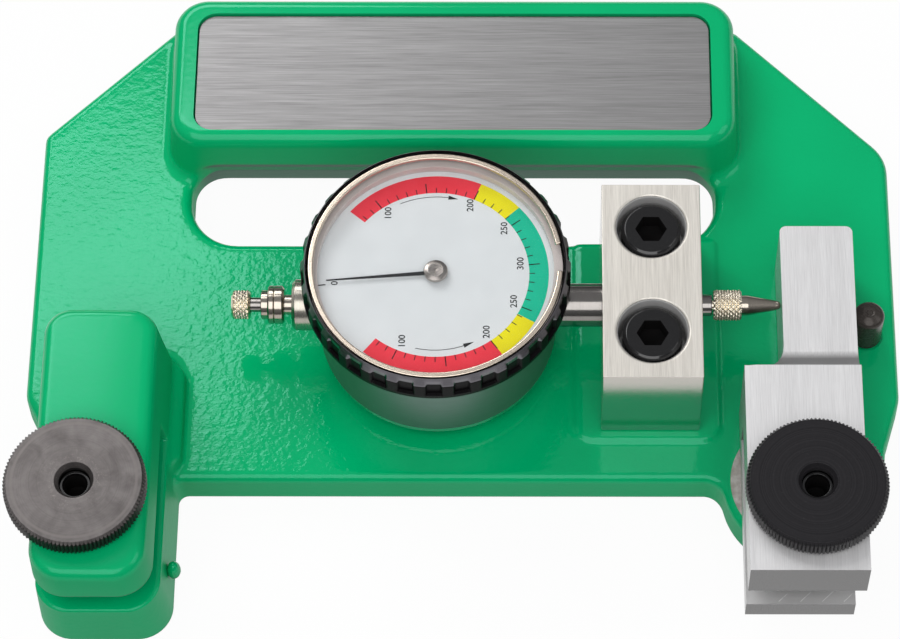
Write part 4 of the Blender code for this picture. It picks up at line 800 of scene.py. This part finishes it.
def clamp_block(finish, bore_finish):
    left, right, front, rear = BLOCK
    piece = box("stem_clamp_block", (left, front, 10.2), (right, rear, BLOCK_TOP))
    bore = lathe("bore", [(5.06, 60), (5.06, 30)], STEM, 64)
    slit = box("slit", (left - 3, -0.75, 8), (right + 3, 0.75, STEM_HEIGHT))
    sink = [(9.0, 40), (8.1, BLOCK_TOP + 0.1), (7.5, BLOCK_TOP - 0.5), (7.5, 26.2), (4.5, 26.2), (4.5, 8)]
    holes = [lathe("sink", sink, at, 72) for at in SCREWS]
    piece = fit(machined(piece, bore, slit, *holes, edge=0.28), "frame", finish, "aluminium", "stem_clamp_block")
    painted(piece, bore_finish, lambda x, y, z: 26 < z < 35.4 and min(dist((x, y), at) for at in SCREWS) < 8)


def cap_screw(name, at, finish, shaded_socket_finish):
    """A socket screw with a knurled head, its shank threaded below the block."""
    profile = [(5.7, 34.5, 0.3), (6.5, 33.85, 0.3), *wall(6.5, 33.6, 27.2, 8), (6.3, 26.5, 0.2), (4.0, 26.5, 0.3),
               *wall(4.0, 22, 2.2, 64), (3.2, 1.5)]
    knurl = dict(Ridges=48, Depth=0.16, Inner=6.4, Low=27.0, High=33.7, Sharpness=0.8)
    piece = ridged(name, profile, at, 192, finish, knurl, thread(0.6, 3.7, 2.2, 21.9))
    socket = slab("socket", circle(6.0 / sqrt(3), at, 6), 30.5, 36)
    point = lathe("point", [(3.0, 30.8), (0, 29.4)], at, 32)
    piece = fit(machined(piece, socket, point), "frame", finish, "black_oxide", name, angle=35)
    # Painted shade: the inside of the hex socket is near black.
    painted(piece, shaded_socket_finish, lambda x, y, z: 29 < z < 34.3 and dist((x, y), at) < 3.5)


def stop_pin(finish):
    profile = [(0.55, 20.0, 0.1), (0.75, 19.75, 0.2), (1.2, 19.9, 0.5), (3.4, 19.0, 1.4), (3.4, 9.3), (2.5, 9.3),
               (2.5, 3.0)]
    fit(lathe("stop_pin", profile, STOP_PIN, 64, ease=5), "frame", finish, "black_oxide", "stop_pin")


def lever(finish, mark_finish):
    front, rear, jaw_rear, left, right, arm_left = -67.2, 18.2, -19.4, 63.3, 88.3, 72.3
    corners = [(left, front, 0), (right, front, 0), (right, rear, 1.5), (arm_left, rear, 1.5),
               (arm_left, jaw_rear, 8.0), (left, jaw_rear, 0)]
    piece = slab("lever_arm", eased(corners, 8), 9.9, JAW_TOP)
    step = [(jaw_rear, 27.0, 7.4), (24, 27.0, 0), (24, 40, 0), (jaw_rear, 40, 0)]
    cutters = [slab("step", eased(step, 12), 58, 93, side=True),
               box("slot", (58, -73, SLOT_FLOOR), (93, -28.5, SLOT_ROOF)),
               box("inset", (86.5, -73, 5), (93, -28.5, 18.85)),
               lathe("spigot", [(3.3, 19), (3.3, 5)], PIVOT, 40),
               lathe("hole", [(4.3, 36), (4.3, 22.1)], RIGHT_CLAMP, 40)]
    fit(machined(piece, *cutters, edge=0.22), "lever", finish, "aluminium", "lever_arm")

    # Slanting scuffs that blades have left on the slot's floor
    points, faces = [], []
    for i, x in enumerate((70.2, 74.8, 79.4, 84.0)):
        long, b = 2.6 + 0.5 * (i % 3), len(points)
        for along, side in ((0, -0.07), (long, -0.04), (long, 0.04), (0, 0.07)):
            points += [(x + (along - side) * 0.72, -66.6 + (along + side) * 0.7, SLOT_FLOOR + rise)
                       for rise in (0.005, 0.02)]
        faces += [(b + 1, b + 3, b + 5, b + 7), (b, b + 6, b + 4, b + 2)]
        faces += [(b + k, b + (k + 2) % 8, b + (k + 2) % 8 + 1, b + k + 1) for k in range(0, 8, 2)]
    fit(tidy(mesh_piece("blade_marks", points, faces)), "lever", mark_finish, "aluminium", smooth=False)


# ---- dial gauge

def gauge_case(finish, boss_finish, back_finish, screw_finish):
    profile = [(22.8, 36.6), (25.0, 36.6, 0.2), (25.0, 35.2, 0.2), (26.0, 35.2, 0.35), (26.0, 15.3, 0.25), (21.0, 15.3),
               (21.0, 26.7), (22.8, 26.7)]
    piece = lathe("gauge_case", profile, DIAL, 160, closed=True)
    boss = lathe("boss", [(5.6, -27.2), (5.6, -33.7, 0.2), (4.9, -34.4, 0.2)], STEM, 72)
    guide = lathe("guide", [(2.5, -14), (2.5, -37)], STEM, 40)
    hole = lathe("hole", [(5.06, 27), (5.06, 9)], STEM, 48)
    piece = fit(machined(piece, guide, hole, joins=[boss]), "frame", finish, "steel", "gauge_case", angle=35)
    painted(piece, boss_finish, lambda x, y, z: dist((x, y), DIAL) > 26.05 and x < 0)

    cutters = []
    for k, clock in enumerate((45, -45, -135, -225), 1):
        x, y = at = on_dial(23.5, clock)
        cutters.append(lathe("way", [(1.1, 16), (1.1, 14.6), (1.7, 14.6), (1.7, 12)], at, 32))
        name = f"back_screw_{k}"
        screw = lathe(name, [(0.8, 17.9), (0.8, 14.3), (1.4, 14.3), (1.4, 13.55, 0.1), (1.25, 13.4, 0.1)], at, 32)
        slot = box("slot", (x - 0.18, y - 2, 13.0), (x + 0.18, y + 2, 13.85))
        fit(machined(screw, slot), "frame", screw_finish, "steel", name)
    back = lathe("case_back", [(25.7, 15.0), (25.7, 13.4, 0.35), (17.4, 13.4), (17.0, 13.6), (16.6, 13.4)], DIAL, 128)
    fit(machined(back, *cutters), "frame", back_finish, "steel", "case_back")


def stem(finish):
    profile = [(2.48, 53.9), (4.76, 53.9, 0.4), (4.76, 20.0), (2.48, 20.0)]
    fit(lathe("stem", profile, STEM, 72, closed=True), "frame", finish, "steel", "stem")


def guide_bush(finish):
    profile = [(1.68, -23.5), (2.2, -23.5), (2.2, -36.15, 0.1), (3.7, -36.15), (4.2, -36.6, 0.2), (4.2, -38.2, 0.15),
               (4.0, -38.35), (4.2, -38.5, 0.1), (4.2, -39.4, 0.2), (3.9, -39.75, 0.1), (3.2, -39.75),
               (3.2, -41.2, 0.2), (1.68, -41.35)]
    fit(lathe("guide_bush", profile, STEM, 72, closed=True), "frame", finish, "nickel", "guide_bush")


def plunger(steel, nickel, cone_finish):
    """Spindle, its return spring, contact tip with its crossed knurl and the lift cap."""
    profile = [(2.4, 57.1, 0.2), (2.4, -17.9), (1.6, -17.9), (1.6, -46.6)]
    fit(lathe("spindle", profile, STEM, 56), "plunger", steel, "steel", "spindle")

    low, high = SPRING_RUN
    around, wire = 24, circle(0.17, ORIGIN, 8)
    steps = SPRING_TURNS * around
    points = []
    for k in range(steps + 1):
        turn = 2 * pi * k / around
        points += [(low + (high - low) * k / steps + along, (2.65 + out) * cos(turn),
                    STEM_HEIGHT + (2.65 + out) * sin(turn)) for out, along in wire]
    last = len(points) - 8
    faces = [(b + i, b + (i + 1) % 8, b + 8 + (i + 1) % 8, b + 8 + i) for b in range(0, last, 8) for i in range(8)]
    faces += [tuple(range(7, -1, -1)), tuple(range(last, last + 8))]
    spring = fit(tidy(mesh_piece("return_spring", points, faces)), "frame", steel, "steel", "return_spring")
    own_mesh(spring)

    def knurled(name, profile, steps, ridges, girth, **span):
        """A nickel piece with ridges crossed at 45 degrees: the girth is its way round, in millimetres."""
        knurl = dict(Ridges=ridges, Depth=0.42, Twist=ridges / girth, Crossed=1.0, Sharpness=0.75, **span)
        return fit(ridged(name, profile, STEM, steps, nickel, knurl), "plunger", None, "nickel", name, angle=60)

    nose = [(sin(a), 72.2 - 1.0 + cos(a)) for a in fine_steps(0, pi / 2 * 0.95, 8)]
    collar = [(3.0, 63.56, 0.1), (3.4, 63.2, 0.1), *wall(3.4, 63.0, 58.0, 44), (3.4, 57.8, 0.1), (3.0, 57.4, 0.1)]
    tip = [(0, 72.2), *nose[1:], (2.25, 63.56 + 1.4, 0.6), (2.25, 63.56), *collar, (1.2, 57.4), (1.2, 53.4)]
    piece = knurled("contact_tip", tip, 176, 18, 21.4, Inner=3.3, Low=57.7, High=63.3)
    painted(piece, cone_finish, lambda x, y, z: x > 63.7)

    rim = [(2.7, -43.55, 0.1), (3.15, -43.95, 0.1), *wall(3.2, -44.1, -47.1, 28), (3.15, -47.25, 0.1),
           (2.7, -47.65, 0.1)]
    knurled("lift_cap", [(1.9, -46.3), (1.9, -43.55), *rim], 160, 17, 20.1, Inner=3.1, Low=-47.2, High=-44.0)


def bezel(finish, sloped_finish):
    """The bezel: a satin sloped rim, and thirty finger grooves cut into it and the wall below."""
    slope = [(28.0 + k / 6, 43.0 - 0.3 * k) for k in range(1, 6)]
    profile = [(27.7, 43.0, 0.12), (28.0, 43.0, 0.1), *slope, *wall(29.0, 41.2, 37.4, 6), (29.0, 37.2), (29.0, 36.1),
               (28.6, 35.6, 0.25), (25.3, 35.6), (25.3, 36.74), (23.9, 36.74), (23.9, 37.24), (25.9, 37.24),
               (25.9, 40.0), (27.7, 40.0)]
    grooves = dict(Ridges=30, Depth=3.5, Inner=28.3, Low=37.3, High=42.9, Sharpness=0.6, Root=28.3)
    piece = ridged("bezel", profile, DIAL, 720, finish, grooves, closed=True)
    piece = fit(piece, "dial", None, "plastic", "bezel", angle=50)
    painted(piece, sloped_finish, lambda x, y, z: z > 41.25 and dist((x, y), DIAL) > 27.9)


def crystal(clear, ring_finish, liner_finish):
    profile = [(27.0, 41.5, 0.2), (27.4, 41.1, 0.2), (27.4, 40.3)]
    fit(lathe("crystal", profile, DIAL, 128), "dial", clear, "crystal", "crystal")
    split = sector(26.1, 27.4, 93.5, 360 + 79.4, 120)
    piece = machined(slab("crystal_ring", split, 41.8, 42.7), edge=0.33, segments=3)
    fit(piece, "dial", ring_finish, "nickel", "crystal_ring", angle=60)
    liner = [(25.4, 40.2, 0.1), (27.3, 40.2), (27.3, 40.04), (25.75, 40.04), (25.75, 38.1), (25.5, 38.1, 0.1)]
    fit(lathe("crystal_liner", liner, DIAL, 128, closed=True), "dial", liner_finish, "nickel")


def dial_face(enamel, red, yellow, green, black):
    face = lathe("dial_face", [(1.2, 38.04), (25.6, 38.04), (25.6, 37.54), (1.2, 37.54)], DIAL, 128, closed=True)
    fit(face, "dial", enamel, "face", "dial_face")

    def ink(piece, finish=black):
        fit(piece, "dial", finish, "face", smooth=False)

    for name, finish, first, last in (("red_band_a", red, -50.7, 23.3), ("yellow_band_a", yellow, 23.3, 47.3),
                                      ("green_band", green, 47.3, 119), ("yellow_band_b", yellow, 119, 143.5),
                                      ("red_band_b", red, 143.5, 218.8)):
        ink(slab(name, sector(20.1, 24.3, first, last), 38.05, 38.08), finish)
    for name, ticks in (("ticks", dict(Count=45, First=-48.4, Inner=20.1, Length=1.25, Width=0.19)),
                        ("long_ticks", dict(Count=9, First=-36.4, Step=30.0, Inner=20.1, Length=2.4, Width=0.22)),
                        ("zero_tick", dict(Count=1, First=263.5, Inner=23.8, Length=1.6, Width=0.26))):
        ink(grown(mesh_piece(name, [(0, 0, 0)], []), TICKS, black, **ticks), None)
    figures = [("100", 325.0, 18.3), ("200", 23.2, 18.5), ("250", 52.5, 18.5), ("300", 82.0, 18.4),
               ("250", 111.7, 18.1), ("200", 142.0, 17.9), ("100", 203.0, 17.8), ("0", 264.0, 21.8)]
    for i, (figure, clock, reach) in enumerate(figures):
        ink(number(f"figure_{i}", figure, (*on_dial(reach, clock), 38.07)))
    ink(arrow("arrow_rear", 19.1, 335.5, 367.5, 374.0))
    ink(arrow("arrow_front", 18.5, 192.8, 160.5, 153.0))


def number(name, text, at):
    """A figure of the dial, read from its right, as thin ink."""
    curve = bpy.data.curves.new(name, "FONT")
    curve.body, curve.size, curve.extrude, curve.offset = text, 2.05, 0.01, 0.018
    curve.align_x = curve.align_y = "CENTER"
    curve.resolution_u = 3
    piece = settled(placed(name, curve))
    for change in (Matrix.Diagonal((1.02, 1, 1, 1)), Matrix.Rotation(pi / 2, 4, "Z"), Matrix.Translation(at)):
        piece.data.transform(change)
    return tidy(piece)


def arrow(name, reach, start, end, tip):
    """A thin arc that ends in a head."""
    run = sector(reach - 0.07, reach + 0.07, start, end, 24)
    head = [on_dial(reach + 0.5, end), on_dial(reach, tip), on_dial(reach - 0.5, end)]
    middle = len(run) // 2
    return slab(name, run[:middle] + head + run[middle:], 38.06, 38.08)


def pointer(black, steel):
    turn = radians(184.8)
    outline = [(3.0, -0.42), (23.6, -0.11), (23.6, 0.11), (3.0, 0.42), (1.3, 0.62), (0, 1.4), (-1.4, 0), (0, -1.4),
               (1.3, -0.62)]
    outline = [(DIAL[0] + x * cos(turn) - y * sin(turn), DIAL[1] + x * sin(turn) + y * cos(turn))
               for x, y in outline]
    fit(slab("pointer", outline, 38.64, 38.84, [circle(0.7, DIAL, 20)]), "needle", black, "black_paint", "pointer")
    profile = [(0, 39.75), (0.3, 39.8), (0.4, 40.0, 0.1), (1.7, 40.04, 0.3), (2.5, 39.75, 0.2), (2.65, 39.3, 0.15),
               (2.65, 39.14)]
    fit(lathe("pointer_hub", profile, DIAL, 72), "needle", steel, "steel", "pointer_hub")


# ---- thumb screws

def thumb_screw(side, at, knob_finish, knob_slot, thread_finish, shaded_socket_finish, pad_finish):
    """A knurled knob, its threaded stud and the pad below."""
    low, high, teeth = 33.3, 38.1, 108
    screw, name = f"{side}_screw", f"{side}_thumb_knob"
    profile = [(14.2, high, 0.15), (14.85, high - 0.6, 0.1), *wall(15.0, high - 0.75, low + 0.6, 6), (14.3, low, 0.15),
               (4.3, low), (4.3, 35.95), (3.35, 35.95), *wall(3.35, 36.0, 36.95, 10), (4.15, high, 0.12)]
    knurl = dict(Ridges=teeth, Depth=0.42, Inner=14.7, Low=low - 0.1, High=high - 0.5, Sharpness=0.85)
    piece = ridged(name, profile, at, teeth * 4, knob_finish, knurl, closed=True)
    fit(piece, screw, None, knob_slot, name, angle=42)

    name = f"{side}_clamp_stud"
    profile = [(0, 29.5), (2.3, 30.0), (2.35, 35.3), (2.7, 35.7, 0.1), (3.15, 35.7, 0.1), *wall(4.0, 35.2, 18.8, 105),
               (3.3, 18.2), (1.8, 18.2), (1.8, 16.9)]
    piece = ridged(name, profile, at, 40, thread_finish, thread(0.65, 3.8, 18.8, 35.3))
    piece = fit(piece, screw, None, "black_oxide", name, angle=60)
    # Painted shade: the stud's end down in the knob's hole is near black.
    painted(piece, shaded_socket_finish, lambda x, y, z: z > 28 and dist((x, y), at) < 2.4)

    name = f"{side}_pressure_pad"
    profile = [(1.88, 16.6), (1.88, 18.2), (3.6, 18.2, 0.2), (3.9, 17.9, 0.1), (3.9, 15.8, 0.1), (3.7, 15.6, 0.1)]
    fit(lathe(name, profile, at, 56), f"{side}_pad", pad_finish, "steel", name)


# ---- stage

def stage():
    """A white floor and room, four lamps and the camera of the photograph."""
    floor = mesh_piece("floor", [(x, y, -0.0002) for x, y, _ in rectangle(-6, 6, -6, 6)], [(0, 1, 2, 3)])
    f = Finish("pale_floor", 0.9, colour=(0.4, 0.4, 0.4))
    rays = f.add("ShaderNodeLightPath").outputs
    seen = f.maths("MAXIMUM", rays["Is Glossy Ray"], rays["Is Transmission Ray"])
    seen = f.maths("MAXIMUM", rays["Is Camera Ray"], seen)
    f.wire(Base_Color=f.blend(seen, (0.4, 0.4, 0.4), (0.9, 0.9, 0.9)))
    glow = f.add("ShaderNodeEmission", Color=(1, 1, 1, 1), Strength=1.0).outputs[0]
    mix = f.add("ShaderNodeMixShader", f.times(seen, 0.95), f.shader.outputs[0], glow).outputs[0]
    f.feed(mix, f.tree.nodes["Material Output"].inputs["Surface"])
    floor.data.materials.append(f.material)

    world = bpy.data.worlds.new("room")
    bpy.context.scene.world = world
    world.use_nodes = True
    w = Wiring(world.node_tree)
    room = w.tree.nodes["Background"]
    height = w.split(w.add("ShaderNodeTexCoord").outputs["Generated"])["Z"]
    w.feed((0.95, 0.97, 1.0, 1), room.inputs["Color"])
    w.feed(w.span(height, 0.0, 1.0, 0.1, 0.42), room.inputs["Strength"])
    backdrop = w.add("ShaderNodeBackground", Strength=1.0).outputs[0]
    seen = w.add("ShaderNodeLightPath").outputs["Is Camera Ray"]
    mix = w.add("ShaderNodeMixShader", seen, room.outputs[0], backdrop).outputs[0]
    w.feed(mix, w.tree.nodes["World Output"].inputs["Surface"])

    softbox("box_left", (-0.42, 0.56, 0.95), 0.58, 0.75, 5.4, (-0.42, 0.56, 0), ((0.22, 0.44), (0.68, 0.53)))
    softbox("box_front", (-0.15, -0.75, 1.25), 1.5, 1.1, 2.2)
    softbox("box_rear", (-0.5, 1.0, 0.9), 0.9, 0.45, 5.0)
    softbox("box_right", (1.0, -0.1, 0.8), 0.6, 0.6, 1.5)

    # The picture is a crop: its centre was at 533 of the 900 pixels across
    width, centre, focal, sensor = 900, 533, 3542.98, 36
    data = bpy.data.cameras.new("camera")
    data.sensor_width = sensor
    data.lens = focal / width * sensor
    data.shift_x = -(centre - width / 2) / width
    data.clip_end = 20
    camera = placed("camera", data)
    camera.location = (0.018512, -0.367882, 0.704922)
    camera.rotation_euler = (radians(28.148), 0, radians(0.066))
    bpy.context.scene.camera = camera
    bpy.context.scene.view_settings.view_transform = "Standard"


def softbox(name, at, width, depth, radiance, aim=(0, 0, 0), fades=()):
    """A lamp of even light, or one that fades in over two spans, given as shares of its depth."""
    data = bpy.data.lights.new(name, "AREA")
    data.shape, data.size, data.size_y = "RECTANGLE", width, depth
    data.energy = radiance * pi * width * depth
    if fades:
        data.use_nodes = True
        w = Wiring(data.node_tree)
        along = w.split(w.add("ShaderNodeNewGeometry").outputs["Parametric"])["Y"]
        shares = [w.span(along, dark, bright, interpolation_type="SMOOTHSTEP") for dark, bright in fades]
        w.feed(w.times(*shares), w.tree.nodes["Emission"].inputs["Strength"])
    lamp = placed(name, data)
    lamp.location = at
    lamp.rotation_euler = (Vector(aim) - Vector(at)).to_track_quat("-Z", "Y").to_euler()


def build():
    stage()
    nickel = turned_metal("nickel_plate", (0.86, 0.78, 0.64), 0.24, STEM, 0.003, 5.0)
    bush_nickel = turned_metal("bush_nickel", (0.46, 0.41, 0.35), 0.15, STEM, 0.003, 5.0)
    steel_x = turned_metal("ground_steel", (0.29, 0.272, 0.257), 0.14, STEM, 0.003, 6.0)
    steel_dial = turned_metal("turned_steel", (0.66, 0.64, 0.60), 0.22, DIAL, 0.004, 6.0)
    # The satin case's own grey is tinted green and darkened as a painted reflection of the paint and shade around it.
    case_steel = turned_metal("satin_case", (0.145, 0.225, 0.195), 0.36, DIAL, 0.004, 3.0, 0.92, 0.7)
    pivot_steel = turned_metal("pivot_steel", (0.62, 0.60, 0.57), 0.28, PIVOT, 0.005, 4.0)
    bronze = turned_metal("bronze", (0.60, 0.40, 0.17), 0.32, PIVOT, 0.005, 4.0)
    brass = turned_metal("movement_brass", (0.66, 0.48, 0.20), 0.3, DIAL, 0.004, 4.0)
    oxide = black_oxide("black_oxide", 0.14, (43.75, 0.4), 2.0, (0.003, 0.003, 0.003), (0.009, 0.008, 0.009), 1.0)
    right_oxide = black_oxide("turned_black_oxide", 0.33, RIGHT_CLAMP, 2.4, (0.013, 0.0125, 0.014),
                              (0.032, 0.030, 0.033))
    pin_oxide = black_oxide("browned_pin", 0.2, STOP_PIN, 4.0, (0.045, 0.038, 0.034), (0.075, 0.066, 0.06))
    # The shares side, front, rear and low are painted shade on the lever's upright, front and rear faces and its slot's
    # floor.
    aluminium = brushed("milled_aluminium", (0.88, 0.87, 0.87), (0.70, 0.69, 0.69), (4.0, 0.12, 4.0), 0.45, 0.6,
                        side_rough=0.3, side=0.6, front=0.2, rear=0.3, low=0.62)
    # The shares side and front are painted shade on the block's upright and front faces.
    block_metal = brushed("block_aluminium", (0.82, 0.78, 0.715), (0.62, 0.585, 0.53), (4.0, 0.12, 4.0), 0.45, 0.65,
                          side_rough=0.1, side=0.6, front=0.62)
    # Painted shade: a near-black finish for the insides of sockets and holes.
    painted_socket_shade = printed("oiled_socket", (0.002, 0.002, 0.002), (0.005, 0.004, 0.004), 0.8)

    casting()
    name_plate(brushed("brushed_stainless", (0.335, 0.329, 0.329), (0.235, 0.231, 0.231), (0.07, 4.0, 4.0), 0.45))
    clamp_block(block_metal, turned_metal("bright_bore", (0.72, 0.71, 0.70), 0.4, SCREWS[0], 0.006, 4.0, 0.85, 0.3))
    cap_screw("clamp_screw_rear", SCREWS[0], oxide, painted_socket_shade)
    cap_screw("clamp_screw_front", SCREWS[1], oxide, painted_socket_shade)
    stop_pin(pin_oxide)
    lever(aluminium, brushed("scuffed_aluminium", (0.95, 0.95, 0.95), (0.8, 0.8, 0.8), (3.0, 3.0, 3.0), 0.3, 0.4))
    gauge_case(case_steel, turned_metal("boss_nickel", (0.47, 0.44, 0.38), 0.24, STEM, 0.003, 2.0), steel_dial,
               pivot_steel)
    stem(steel_x)
    guide_bush(bush_nickel)
    plunger(steel_x, nickel, bush_nickel)
    bezel(moulded("black_bezel", (0.004, 0.0035, 0.004), (0.007, 0.006, 0.007), 0.34, 0.04),
          turned_metal("satin_slope", (0.17, 0.162, 0.178), 0.3, DIAL, 0.003, 5.0))
    crystal(acrylic(), turned_metal("champagne_ring", (0.82, 0.70, 0.58), 0.24, DIAL, 0.003, 6.0),
            moulded("liner_enamel", (0.66, 0.58, 0.55), (0.74, 0.68, 0.65), 0.22))
    dial_face(printed("face_enamel", (0.76, 0.79, 0.80), (0.80, 0.83, 0.84)),
              printed("red_ink", (0.90, 0.034, 0.058), (0.94, 0.044, 0.072)),
              printed("yellow_ink", (0.90, 0.80, 0.0), (0.94, 0.85, 0.0)),
              printed("green_ink", (0.0, 0.52, 0.31), (0.0, 0.57, 0.34)),
              printed("black_ink", (0.008, 0.008, 0.009), (0.02, 0.02, 0.02)))
    pointer(printed("pointer_black", (0.01, 0.01, 0.011), (0.022, 0.022, 0.024), 0.4),
            turned_metal("hub_steel", (0.46, 0.42, 0.39), 0.22, DIAL, 0.001, 3.0))
    thumb_screw("left", LEFT_CLAMP, worn_oxide(LEFT_CLAMP), "worn_oxide", oxide, painted_socket_shade, pivot_steel)
    thumb_screw("right", RIGHT_CLAMP, right_oxide, "black_oxide", oxide, painted_socket_shade, pivot_steel)

    # The inside is carried over from the solids, in finishes of its own
    for names, finish in ((("pivot_pin", "pivot_washer"), pivot_steel), (("pivot_screw",), oxide),
                          (("pivot_bush", "thrust_washer"), bronze),
                          (("hairspring", "centre_pinion", "take_up_arbor", "rack_pinion"), steel_dial),
                          (("movement_plate_lower", "movement_plate_upper", "movement_pillar_1",
                            "movement_pillar_2", "movement_pillar_3", "rack_gear", "take_up_gear"), brass)):
        for name in names:
            dress(frame["nodes"][name], finish)


build()
